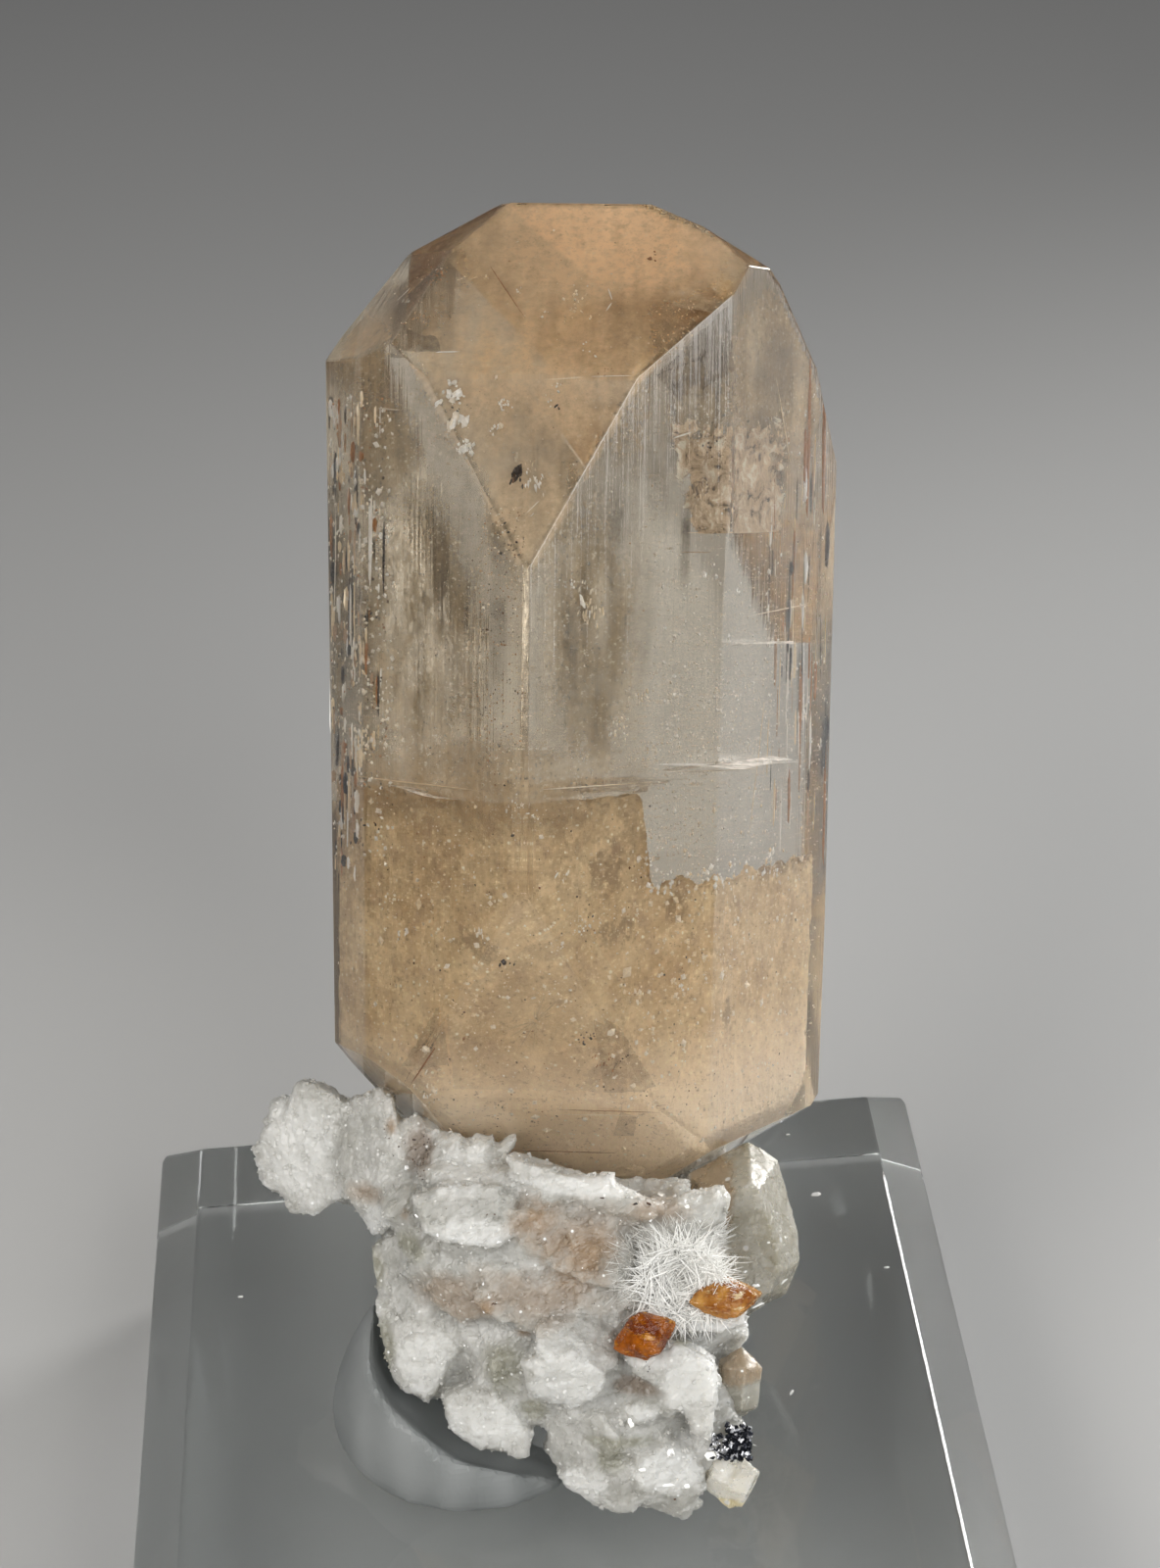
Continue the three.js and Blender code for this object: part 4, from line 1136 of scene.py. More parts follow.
# Rounded lumps of the albite's body: middle, half sizes and roll in degrees
albiteForms = {
    "knobTop": ((-9.4, 2.2, -24.4), (1.4, 1.2, 1.2), 8),
    "knobMiddle": ((-9.9, 2.4, -26.2), (1.8, 1.3, 2.0), 0),
    "knobNeck": ((-8.3, 3.0, -25.7), (1.3, 1.2, 2.1), 0),
    "neck": ((-6.8, 4.3, -25.6), (1.6, 1.3, 2.1), 0),
    "behindBlades": ((-4.9, 6.3, -27.6), (1.7, 1.4, 1.3), 10),
    "underBlades": ((-2.6, 7.4, -26.3), (2.4, 1.2, 1.0), 10),
    "neckLow": ((-6.8, 4.6, -27.5), (1.0, 1.1, 0.9), -30),
    "speckedHollow": ((-4.7, 5.4, -25.3), (1.6, 1.1, 1.8), 0),
    "middleLump": ((-2.4, 8.6, -27.4), (2.5, 1.5, 1.6), 12),
    "ridge": ((2.9, 9.0, -26.1), (4.2, 0.7, 0.5), 15),
    "slope": ((1.2, 8.2, -28.8), (4.6, 1.7, 2.6), 12),
    "upperApron": ((0.2, 7.6, -30.0), (5.9, 2.2, 3.2), 6),
    "lowerApron": ((2.4, 8.2, -34.2), (5.5, 2.2, 2.7), 0),
    "leftApron": ((-3.7, 6.2, -33.0), (2.4, 1.6, 3.1), -8),
    "roundPlate": ((-4.2, 7.0, -34.1), (1.7, 0.8, 1.8), 0),
    "leftLump": ((-1.4, 8.5, -36.1), (1.8, 1.2, 1.3), -10),
    "whiteLump": ((1.9, 10.2, -33.3), (1.9, 1.3, 1.8), 0),
    "rightLump": ((6.6, 9.9, -33.9), (1.9, 1.2, 1.9), 0),
    "footApron": ((5.0, 9.0, -37.6), (3.0, 1.4, 1.5), -4),
    "ledge": ((7.1, 9.6, -31.4), (2.6, 0.8, 0.35), 1),
    "lowEdge": ((5.4, 9.8, -38.7), (2.2, 0.8, 0.6), -8),
    "ridgeFill": ((2.4, 8.5, -26.7), (4.0, 1.0, 0.9), 15),
    "underSpray": ((6.5, 8.7, -28.5), (1.9, 0.9, 1.3), 0),
    "gapFill": ((-0.6, 7.9, -26.2), (1.3, 1.1, 1.0), 10),
    "rightFill": ((8.3, 8.9, -36.6), (1.2, 0.9, 2.6), 0),
}
hollowFill = ((3.75, 9.05, -31.85), (0.8, 0.7, 0.6))

# Plates on top of them: front, height over the body and the outline as right and up
albitePlates = {
    "knob": (3.6, 0.3, [
        (-10.3, -23.0), (-9.4, -22.9), (-8.5, -23.1), (-7.2, -24.2), (-6.9, -26.1), (-8.1, -28.0),
        (-9.3, -28.9), (-10.3, -28.9), (-10.7, -28.5), (-11.4, -27.0), (-12.0, -26.9), (-12.2, -26.2),
        (-11.7, -25.2), (-11.2, -24.8), (-10.6, -24.1),
    ]),
    "ridge": (9.7, 0.2, [
        (-0.7, -24.7), (1.2, -25.2), (2.9, -25.8), (4.6, -26.4), (5.8, -27.2), (5.2, -27.4), (3.7, -27.0),
        (2.0, -26.6), (0.5, -26.0), (-0.6, -25.6),
    ]),
    "neck": (5.5, 0.15, [
        (-7.8, -23.5), (-7.1, -23.2), (-6.3, -22.7), (-5.7, -23.1), (-5.3, -25.5), (-5.9, -27.2),
        (-7.0, -28.0), (-7.9, -27.7), (-8.2, -26.5),
    ]),
    "smallWhite": (5.9, 0.6, [
        (-7.1, -28.2), (-6.3, -27.7), (-5.8, -28.0), (-5.8, -28.6), (-6.2, -29.1), (-6.7, -29.5),
    ]),
    "middleTop": (9.7, 0.3, [
        (-4.7, -26.4), (-3.4, -26.0), (-1.3, -25.9), (-0.4, -26.4), (-0.2, -27.5), (-0.7, -28.5),
        (-2.1, -28.4), (-3.2, -28.3), (-4.2, -27.9),
    ]),
    "middleLow": (6.9, 0.6, [
        (-5.8, -28.4), (-4.8, -28.1), (-4.1, -28.8), (-3.7, -29.6), (-4.2, -30.2), (-5.0, -30.0),
    ]),
    "leftFlank": (7.1, 0.3, [
        (-6.7, -29.8), (-5.6, -29.1), (-4.4, -29.9), (-4.1, -31.4), (-4.8, -32.5), (-6.0, -32.7),
        (-6.4, -31.4),
    ]),
    "roundTop": (8.0, 0.35, [
        (-5.6, -32.5), (-4.4, -32.2), (-3.6, -32.5), (-2.6, -33.4), (-3.1, -34.1), (-3.4, -34.9),
        (-3.7, -35.6), (-4.3, -35.7), (-5.1, -35.2), (-5.5, -34.4), (-5.7, -33.2),
    ]),
    "plateRim": (7.2, 0.2, [
        (-6.4, -31.7), (-6.1, -33.3), (-5.7, -34.9), (-5.1, -35.6), (-4.0, -36.0), (-3.7, -35.1),
        (-5.6, -32.1),
    ]),
    "leftTop": (9.5, 0.4, [
        (-3.4, -35.2), (-2.2, -34.8), (-0.9, -35.0), (-0.2, -35.7), (0.5, -36.7), (0.3, -37.8), (-0.4, -37.6),
        (-1.8, -37.5), (-2.5, -37.1), (-3.0, -36.7),
    ]),
    "whiteTop": (11.6, 0.35, [
        (0.0, -33.0), (0.7, -32.7), (1.4, -32.7), (2.2, -32.4), (3.6, -33.3), (3.4, -34.5), (2.7, -35.0),
        (2.0, -35.1), (1.2, -34.9), (0.4, -34.5),
    ]),
    "whiteBack": (10.7, 0.35, [
        (0.5, -31.6), (1.6, -31.3), (3.1, -31.5), (4.1, -32.3), (4.1, -33.3), (3.1, -33.7), (0.7, -32.7),
    ]),
    "midPlate": (10.2, 0.4, [
        (1.1, -36.2), (1.7, -35.6), (3.5, -35.4), (4.4, -36.5), (3.8, -37.5), (2.1, -37.7), (1.2, -37.5),
    ]),
    "lowPlate": (9.9, 0.4, [
        (1.6, -38.4), (2.2, -37.9), (3.8, -37.4), (4.9, -37.5), (5.1, -38.6), (5.0, -39.7), (4.2, -39.9),
        (3.0, -39.5), (2.1, -39.0),
    ]),
    "blockPlate": (10.3, 0.5, [
        (4.8, -36.9), (6.3, -36.7), (7.6, -37.3), (7.9, -38.6), (7.2, -38.9), (5.4, -38.8), (4.9, -38.6),
    ]),
    "bottomPlate": (10.4, 0.3, [
        (4.8, -38.3), (7.1, -38.4), (8.0, -38.6), (7.3, -39.3), (6.3, -39.3), (5.0, -39.5),
    ]),
    "foot": (10.3, 0.3, [
        (5.1, -39.5), (6.2, -38.9), (7.2, -38.9), (7.2, -40.1), (7.1, -40.3), (6.2, -39.9),
    ]),
    "rightTop": (11.2, 0.4, [
        (4.5, -32.9), (5.2, -32.4), (6.7, -32.2), (7.2, -32.5), (8.2, -33.1), (8.4, -34.7), (8.0, -36.3),
        (7.3, -36.1), (7.0, -35.3), (6.3, -34.8), (5.9, -34.2), (4.6, -33.5),
    ]),
    "glassyLump": (10.6, 0.6, [
        (4.3, -35.0), (5.0, -34.8), (5.9, -34.9), (5.8, -35.6), (5.1, -35.9), (4.4, -35.7),
    ]),
    "ledgeTop": (10.4, 0.3, [
        (4.3, -30.3), (5.1, -30.2), (6.5, -31.0), (8.8, -31.1), (9.6, -31.0), (9.5, -31.6), (8.6, -31.9),
        (7.0, -31.8), (5.7, -31.3), (4.5, -30.9),
    ]),
    "lowerSlope": (10.3, 0.3, [
        (-1.3, -29.6), (1.2, -29.9), (3.7, -30.2), (4.5, -31.2), (3.3, -31.6), (-0.9, -31.7), (-2.1, -30.8),
    ]),
    "slopeTop": (9.9, 0.15, [
        (-0.3, -26.9), (1.5, -27.0), (3.8, -27.7), (4.9, -28.9), (4.5, -30.4), (2.8, -30.1), (-0.1, -28.4),
    ]),
    "greyFace": (8.8, 0.3, [
        (-3.9, -29.6), (-2.2, -29.2), (-0.1, -29.3), (0.5, -30.4), (-0.5, -31.5), (-2.6, -32.0),
        (-3.8, -31.4),
    ]),
}

# Stains and clearer places: middle, half width and half height
albiteStains = {
    "pink": [((-3.2, 9, -30.8), (2.0, 1.2)), ((2.4, 10, -27.9), (3.6, 1.6)), ((0.4, 10, -30.6), (4.4, 1.5)),
             ((-6.9, 5, -27.2), (1.0, 0.6)), ((-2.2, 9, -31.2), (2.4, 1.2)), ((5.6, 9, -27.0), (1.9, 0.7))],
    "tan": [((2.5, 10, -28.9), (1.9, 1.7)), ((0.4, 9, -27.3), (1.4, 0.9)), ((-5.1, 6, -27.8), (0.35, 0.5)),
            ((-5.8, 5, -24.2), (0.35, 0.5)), ((-1.5, 9.5, -31.0), (0.5, 0.6)),
            ((0.1, 10, -32.3), (0.45, 0.3)), ((0.4, 9, -27.1), (0.7, 0.6))],
    "brown": [((4.9, 10, -34.3), (1.2, 0.5)), ((-4.6, 6.5, -25.2), (0.9, 1.2))],
    "green": [((-0.7, 9.5, -33.8), (1.2, 1.3)), ((-6.0, 7, -33.6), (0.6, 2.3)),
              ((-6.5, 6, -30.6), (0.6, 1.3)), ((6.9, 10, -32.1), (0.6, 0.3)), ((4.3, 10, -36.6), (1.9, 0.4)),
              ((3.9, 10, -37.3), (0.9, 0.9)), ((-4.9, 8, -29.0), (0.9, 0.8)), ((0.6, 10, -35.6), (0.7, 0.6))],
    "white": [((1.9, 11, -33.6), (2.0, 1.7)), ((-1.4, 9, -36.2), (2.0, 1.3)),
              ((-6.4, 5.5, -28.5), (0.75, 1.0)), ((-2.0, 10, -27.8), (2.0, 0.8)),
              ((6.4, 11, -37.9), (2.0, 1.1)), ((5.2, 10, -35.4), (1.0, 0.6)), ((7.0, 10, -31.4), (2.8, 0.5)),
              ((-9.8, 3, -26.1), (2.3, 3.0)), ((-4.2, 8, -34.1), (1.5, 1.7)), ((2.6, 10, -25.9), (3.8, 0.45)),
              ((7.2, 11, -33.8), (1.5, 1.5)), ((5.6, 11, -32.9), (1.6, 0.45)), ((-2.4, 7, -25.7), (1.7, 1.3)),
              ((2.6, 10, -38.7), (1.3, 0.9))],
}
stainDepth = 4.0
stainLooks = {
    # colour, and how far in from its edge a stain is full
    "white": ((0.62, 0.62, 0.598, 1), 0.4),
    "pink": ((0.30, 0.24, 0.18, 1), 0.7),
    "green": ((0.26, 0.255, 0.20, 1), 0.5),
    "tan": ((0.27, 0.18, 0.10, 1), 0.75),
    "brown": ((0.19, 0.145, 0.105, 1), 0.6),
}

# Black and brown specks: right, up, half width, half height, count and reach
albiteSpecks = [
    (3.35, -26.35, 0.16, 0.05, 1, 0.0), (4.75, -26.6, 0.18, 0.07, 1, 0.0), (5.3, -26.65, 0.22, 0.08, 1, 0.0),
    (-4.7, -25.0, 0.05, 0.05, 16, 0.75), (-4.6, -25.9, 0.06, 0.05, 7, 0.5), (-1.2, -27.0, 0.10, 0.05, 2, 0.2),
    (-1.1, -30.9, 0.12, 0.04, 2, 0.2), (5.3, -33.3, 0.05, 0.04, 5, 0.35), (7.4, -31.3, 0.09, 0.04, 2, 0.3),
    (1.2, -38.0, 0.07, 0.04, 1, 0.0), (9.4, -31.9, 0.10, 0.18, 2, 0.1), (6.6, -39.1, 0.08, 0.08, 1, 0.0),
    (-5.9, -24.4, 0.05, 0.05, 4, 0.4), (3.0, -30.5, 0.04, 0.04, 5, 1.6), (-1.0, -28.8, 0.035, 0.035, 6, 2.4),
]

rayStart = 40            # in front of every piece, in mm


def cellTilt(point, size, seed):
    # height of a tilted facet: each cell of a Voronoi pattern is its own small plane
    shifted = point / size + Vector((seed, seed, seed))
    centre = noise.voronoi(shifted)[1][0]
    tilt = Vector(noise.cell_vector(centre * 7.3)) - Vector((0.5, 0.5, 0.5))
    return (shifted - centre).dot(tilt)


def facetTilts(corners, size, seed):
    return np.array([cellTilt(Vector(corner), size * millimetre, seed) for corner in corners])


def paintStains(mesh, corners):
    # how deep each corner lies in the nearest stain of each kind: 1 in its middle, 0 at its edge
    places = corners / millimetre
    warp = np.array([noise.fractal(Vector(corner) * 600, 1.0, 2.0, 3) for corner in corners])
    for kind, stains in albiteStains.items():
        value = np.full(len(corners), -1.0)
        for (right, front, up), (halfWidth, halfHeight) in stains:
            away = ((places[:, 0] - right) / halfWidth) ** 2 + ((places[:, 2] - up) / halfHeight) ** 2
            away += ((-places[:, 1] - front) / stainDepth) ** 2
            value = np.maximum(value, 1 - np.sqrt(away))
        setAttribute(mesh, kind, value + warp * 0.3)


def makeAlbiteMaterial(name, inner):
    # inner is how much of the light comes from inside, none for very small grains
    material, tree = newMaterial(name)
    place = specimenPlace(tree)
    grain = grainOn(tree, place, 3000.0, 5200.0, 0.975)
    broad = noiseValue(tree, place, 420.0, 5.0, 0.65)
    fine = noiseValue(tree, place, 2600.0, 3.0, 0.6)
    wander = spread(tree, fine, 0.2, 0.8, -0.25, 0.25)
    tone = colourMix(tree, spread(tree, broad, 0.36, 0.64), albiteLook["grey"], albiteLook["pale"])
    for kind, (colour, edge) in stainLooks.items():
        amount = sums(tree, "ADD", attributeValue(tree, kind), wander)
        tone = colourMix(tree, spread(tree, amount, 0.0, edge, 0.0, 0.85), tone, colour)
    tone = layered(tree, tone, [
        (spread(tree, fine, 0.55, 0.75, 0.0, 0.35), albiteLook["sugar"]),
        (spread(tree, fine, 0.28, 0.42, 0.16, 0.0), albiteLook["pores"]),
        # painted glints: bright specks painted into the albite's colour
        (grain["Sparkle"], albiteLook["paintedGlint"]),
    ])
    setShader(tree, {
        "Base Color": tone,
        "Roughness": spread(tree, grain["Sparkle"], 0.0, 1.0, 0.35, 0.1),
        "IOR": 1.53,
        "Subsurface Weight": inner,
        "Subsurface Radius": (1.0, 0.95, 0.88),
        "Subsurface Scale": 0.0022,
        "Normal": bumped(tree, grain["Height"], 0.00007, 0.7),
    })
    return material


def makeBladeBlock(heap, rng):
    # slanted white blades grown side by side in front of the topaz's lower end
    blade = roughStone(rng, 22, 0.9)
    for index in range(albiteLook["blades"]):
        share = index / (albiteLook["blades"] - 1)
        aside = spot(0.0, rng.uniform(-0.2, 0.2), rng.uniform(-0.2, 0.2))
        turn = Matrix.Rotation(math.radians(30 + 8 * share), 3, "Y") @ Matrix.Diagonal((0.36, 1.0, 1.5))
        heap.put(blade, turn, spot(-3.9 + 2.7 * share, 6.5, -25.5 - 0.1 * share) + aside)


def plateShape(body, front, rise, outline, rng):
    # a flat plate with a ragged rim, laid on the body like the face it stands on
    rim = np.array(rimOf(outline, albiteLook["plateStep"]))
    middle = rim.mean(axis=0)
    rim = middle + (rim - middle) * (1 + rng.normal(scale=0.022, size=(len(rim), 1)))
    hits = []
    for share in (0.25, 0.6, 0.9):
        for right, up in middle + (rim - middle) * share:
            found, place = body.ray_cast(spot(right, rayStart, up), Vector((0, 1, 0)))[:2]
            depth = -place.y / millimetre
            if found and abs(depth - front) < 1.6:
                hits.append((1.0, right - middle[0], up - middle[1], depth))
    level, sideways, upward = front - rise, 0.0, 0.0
    if len(hits) > 8:
        table = np.array(hits)
        level, sideways, upward = np.linalg.lstsq(table[:, :3], table[:, 3], rcond=None)[0]
        sideways, upward = np.clip((sideways, upward), -0.7, 0.7)
    corners = []
    for size, lift in ((0.92, -1.6), (1.0, 0.35 * rise), (0.9, 0.9 * rise), (0.6, rise)):
        ring = (rim - middle) * size
        depths = level + sideways * ring[:, 0] + upward * ring[:, 1] + lift
        corners.extend(spot(right + middle[0], depth, up + middle[1])
                       for (right, up), depth in zip(ring, depths))
    count = len(rim)
    faces = [tuple(range(count)), tuple(reversed(range(3 * count, 4 * count)))]
    faces += [(first, fourth, third, second) for first, second, third, fourth in ringFaces(count, 3)]
    return np.array([corner[:] for corner in corners]), faces


def makeMatrix():
    rng = np.random.default_rng(5)
    core = smoothed(remeshed(nodeMesh("albite_matrix"), albiteLook["coreVoxel"]), 6)
    moveCorners(core, cornerArray(core) - normalArray(core) * albiteLook["drawnIn"] * millimetre)
    heap = Heap()
    heap.keep(meshShape(core))
    for middle, half, roll in albiteForms.values():
        turn = Matrix.Rotation(math.radians(roll), 3, "Y") @ Matrix.Diagonal(half)
        spin = Matrix.Rotation(rng.uniform(0, 3), 3, "X")
        heap.put(roughStone(rng), turn @ spin, spot(*middle))
    body = smoothed(remeshed(heap.mesh("albiteBody"), albiteLook["bodyVoxel"]), 6)
    carrier = addObject("albiteCarrier", body)
    bpy.context.view_layer.update()
    heap = Heap()
    heap.keep(meshShape(body))
    for plate in albitePlates.values():
        heap.keep(plateShape(carrier, *plate, rng))
    makeBladeBlock(heap, rng)
    addScales(heap, body, rng)
    middle, half = hollowFill
    heap.put(roughStone(np.random.default_rng(2)), np.diag(half), spot(*middle))
    bpy.data.objects.remove(carrier)
    base = smoothed(remeshed(heap.mesh("albiteForms"), albiteLook["voxel"]), 2)
    corners, normals = cornerArray(base), normalArray(base)
    (coarseSize, coarseHeight), (fineSize, fineHeight) = albiteLook["coarseFacets"], albiteLook["fineFacets"]
    coarse, fine = facetTilts(corners, coarseSize, 3.7), facetTilts(corners, fineSize, 9.1)
    corners += normals * (coarse * coarseHeight + fine * fineHeight)[:, None]
    moveCorners(base, corners)
    paintStains(base, corners)
    albiteSugar = makeAlbiteMaterial("albiteSugar", 0.85)
    makeCrust(base, makeAlbiteMaterial("albiteGrains", 0.0), rng)
    makeAlbiteSpecks(addPiece("albiteMatrix", base, albiteSugar, "albite_matrix"), rng)


def addScales(heap, body, rng):
    # flat little crystals half sunk in the surface
    places, facing = surfaceSpots(body, albiteLook["scales"], rng)
    count = len(places)
    lean = facing + rng.normal(scale=0.3, size=(count, 3))
    size = np.exp(rng.normal(-0.85, 0.35, count)) * millimetre
    scale = np.stack([size, size * rng.uniform(0.5, 0.9, count), size * 0.35], axis=1)
    heap.add(roughStone(rng, 11, 0.8), turnsTo(lean, rng.uniform(0, fullTurn, count), scale), places,
             rng.random(count))


def makeCrust(base, albiteGrains, rng):
    # small grains that stand out of the surface, and white faces painted as glints, a painted highlight
    places, facing = surfaceSpots(base, albiteLook["crust"], rng)
    count = len(places)
    lean = facing + rng.normal(scale=0.5, size=(count, 3))
    size = np.exp(rng.normal(-2.35, 0.3, count)) * millimetre
    scale = np.stack([size, size * rng.uniform(0.6, 1.2, count), size * rng.uniform(0.5, 1.0, count)], axis=1)
    heap = Heap()
    heap.add(roughStone(rng, 8, 0.8), turnsTo(lean, rng.uniform(0, fullTurn, count), scale), places,
             rng.random(count))
    mesh = heap.mesh("albiteCrust")
    paintStains(mesh, cornerArray(mesh))
    addPiece("albiteCrust", mesh, albiteGrains)
    # painted highlights: white faces on front-facing spots of the albite
    places, facing = surfaceSpots(base, albiteLook["paintedGlints"] * 3, rng)
    front = np.flatnonzero(facing[:, 1] < -0.35)[:albiteLook["paintedGlints"]]
    places, facing = places[front], facing[front]
    count = len(places)
    size = np.exp(rng.normal(-2.85, 0.55, count)) * millimetre
    scale = np.stack([size, size * rng.uniform(0.4, 1.0, count), size * 0.5], axis=1)
    heap = Heap()
    heap.add(roughStone(rng, 7, 0.8), turnsTo(facing, rng.uniform(0, fullTurn, count), scale),
             places + facing * 0.02 * millimetre)
    paintedGlintMaterial = makeGlintMaterial("albiteGlint", (0.9, 0.91, 0.92, 1), (1, 1, 1, 1), 0.1, 1.9, grainSize=6000.0)
    addPiece("albiteGlints", heap.mesh("albiteGlints"), paintedGlintMaterial)


def frontAt(piece, right, up):
    # how far the front of a piece stands out at one place, in millimetres, or -1 beside it
    start = specimen @ spot(right, rayStart, up)
    found, place = piece.ray_cast(start, specimen.to_3x3() @ Vector((0, 1, 0)))[:2]
    if not found:
        return -1.0
    return -(specimen.inverted() @ place).y / millimetre


def makeAlbiteSpecks(piece, rng):
    heap = Heap()
    shape = roughStone(rng, 9, 0.7)
    for right, up, halfWidth, halfHeight, count, reach in albiteSpecks:
        for _ in range(count):
            aside, above = rng.normal(scale=reach * 0.6, size=2) if reach else (0.0, 0.0)
            front = frontAt(piece, right + aside, up + above)
            if front < 1:
                continue
            size = rng.uniform(0.6, 1.2) if reach else 1.0
            roll = Matrix.Rotation(rng.uniform(-0.5, 0.5), 3, "Y")
            heap.put(shape, roll @ Matrix.Diagonal((halfWidth * size, 0.05, halfHeight * size)),
                     spot(right + aside, front, up + above))
    dark, tree = newMaterial("albiteSpeck")
    fine = noiseValue(tree, specimenPlace(tree), 3000.0)
    tone = colourMix(tree, spread(tree, fine, 0.4, 0.6), (0.012, 0.01, 0.012, 1), (0.09, 0.04, 0.02, 1))
    setShader(tree, {"Base Color": tone, "Roughness": 0.35})
    addPiece("albiteSpecks", heap.mesh("albiteSpecks"), dark)


garnetLook = {
    "voxel": 0.07,
    "bands": 0.42,        # distance between growth layers, in mm
    "bandDepth": 0.05,
    "facet": 0.8,
    "facetDepth": 0.1,
    "absorption": (0.96, 0.62, 0.08, 1.0),
    "density": 500.0,
}

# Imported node, deep, light and glowing tone, and the direction the growth layers follow
garnets = {
    "garnetUpper": ("garnet_upper", (0.34, 0.11, 0.015, 1), (0.70, 0.36, 0.08, 1), (1.0, 0.84, 0.5, 1),
                    (0.15, -0.1, 0.98)),
    "garnetLower": ("garnet_lower", (0.20, 0.04, 0.002, 1), (0.60, 0.18, 0.006, 1), (0.85, 0.40, 0.04, 1),
                    (0.5, -0.2, 0.8)),
}


def roughened(mesh, look, seed, rounds):
    # a finer copy of a solid with tilted facets of two sizes
    fine = smoothed(remeshed(mesh, look["voxel"]), rounds, 0.4)
    corners, normals = cornerArray(fine), normalArray(fine)
    broad = facetTilts(corners, look["facet"], seed)
    small = facetTilts(corners, 0.4 * look["facet"], seed + 4.0)
    corners += normals * (broad + 0.4 * small)[:, None] * look["facetDepth"] * millimetre
    moveCorners(fine, corners)
    return fine


def makeGarnetMaterial(name, deep, light, glow):
    material, tree = newMaterial(name)
    place = specimenPlace(tree)
    marks = marksOn(tree, place, 900.0, 3400.0)
    broad = noiseValue(tree, place, 1100.0, 4.0, 0.65)
    tone = colourMix(tree, spread(tree, broad, 0.38, 0.62), deep, light)
    setShader(tree, {
        "Base Color": colourMix(tree, spread(tree, marks["Lines"], 0.62, 0.85, 0.0, 0.85), tone, glow),
        "Roughness": spread(tree, broad, 0.3, 0.7, 0.04, 0.16),
        "Transmission Weight": 0.5,
        "IOR": 1.42,
        "Normal": bumped(tree, marks["Lines"], 0.00004, 0.8),
    }, garnetLook["absorption"], garnetLook["density"])
    return material


def makeGarnets():
    for name, (node, deep, light, glow, upright) in garnets.items():
        mesh = roughened(nodeMesh(node), garnetLook, 2.0, 1)
        corners, normals = cornerArray(mesh), normalArray(mesh)
        layers = (corners @ np.array(Vector(upright))) / (garnetLook["bands"] * millimetre)
        steps = (layers - np.floor(layers)) - 0.5
        corners += normals * steps[:, None] * garnetLook["bandDepth"] * millimetre
        moveCorners(mesh, corners)
        addPiece(name, mesh, makeGarnetMaterial(name + "Look", deep, light, glow), node)


quartzLook = {
    "voxel": 0.09,
    "facet": 0.9,
    "facetDepth": 0.08,
    "paintedGlint": (1, 1, 0.97, 1),
    "absorption": (0.8, 0.74, 0.62, 1),
    "density": 120.0,
}

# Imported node, tone, pale tone and stain, and where the stain is: right, up, half width and half height
quartzTones = {
    "sideQuartz": ("side_quartz", (0.44, 0.41, 0.32, 1), (0.60, 0.575, 0.50, 1), (0.42, 0.32, 0.21, 1),
                   (8.1, -26.8, 1.1, 1.7)),
    "quartzPrism": ("quartz_prism", (0.46, 0.44, 0.37, 1), (0.60, 0.585, 0.52, 1), (0.50, 0.39, 0.27, 1),
                    (9.3, -33.9, 1.2, 0.8)),
    "quartzChip": ("quartz_chip", (0.80, 0.77, 0.68, 1), (0.90, 0.88, 0.82, 1), (0.92, 0.80, 0.50, 1),
                   (9.3, -39.6, 1.5, 0.35)),
}


def makeQuartzMaterial(name, tone, pale, stain, zone):
    # cloudy quartz: two tones of mottle with one stained zone
    material, tree = newMaterial(name)
    place = specimenPlace(tree)
    grain = grainOn(tree, place, 1300.0, 2600.0)
    broad = noiseValue(tree, place, 700.0, 5.0, 0.7)
    right, up, halfWidth, halfHeight = zone
    offset = vectorMath(tree, "SUBTRACT", place, spot(right, 0, up))[0]
    squash = (1 / (halfWidth * millimetre), 0.0, 1 / (halfHeight * millimetre))
    away = vectorMath(tree, "LENGTH", vectorMath(tree, "MULTIPLY", offset, squash)[0])["Value"]
    away = sums(tree, "ADD", away, spread(tree, broad, 0.3, 0.7, -0.35, 0.35))
    mottle = layered(tree, colourMix(tree, spread(tree, broad, 0.38, 0.62), tone, pale), [
        (spread(tree, away, 0.75, 1.05, 0.9, 0.0), stain),
        # painted glints: bright specks painted into the quartz's colour
        (grain["Sparkle"], quartzLook["paintedGlint"]),
    ])
    setShader(tree, {
        "Base Color": mottle,
        "Roughness": spread(tree, grain["Patch"], 0.0, 1.0, 0.12, 0.4),
        "Transmission Weight": 0.5,
        "IOR": 1.54,
        "Subsurface Weight": 0.6,
        "Subsurface Radius": (1.0, 0.95, 0.85),
        "Subsurface Scale": 0.0008,
        "Normal": bumped(tree, grain["Height"], 0.00006, 0.5),
    }, quartzLook["absorption"], quartzLook["density"])
    return material


def makeQuartz():
    for name, (node, *look) in quartzTones.items():
        mesh = roughened(nodeMesh(node), quartzLook, 6.0, 0)
        addPiece(name, mesh, makeQuartzMaterial(name + "Look", *look), node)


grainLook = {
    "heaps": {
        # middle, reach, count and least shade
        "upper": ((9.25, 10.2, -36.4), (0.50, 0.24, 0.45), 190, 0.0),
        "lower": ((9.2, 10.2, -37.0), (0.55, 0.24, 0.36), 210, 0.0),
        "side": ((8.45, 10.1, -36.9), (0.35, 0.2, 0.5), 60, 0.6),
        "shard": ((8.55, 9.4, -35.55), (0.14, 0.1, 0.26), 12, 0.0),
    },
    "size": 0.15,
    "black": (0.02, 0.022, 0.03, 1),
    "silver": (0.8, 0.81, 0.84, 1),
}


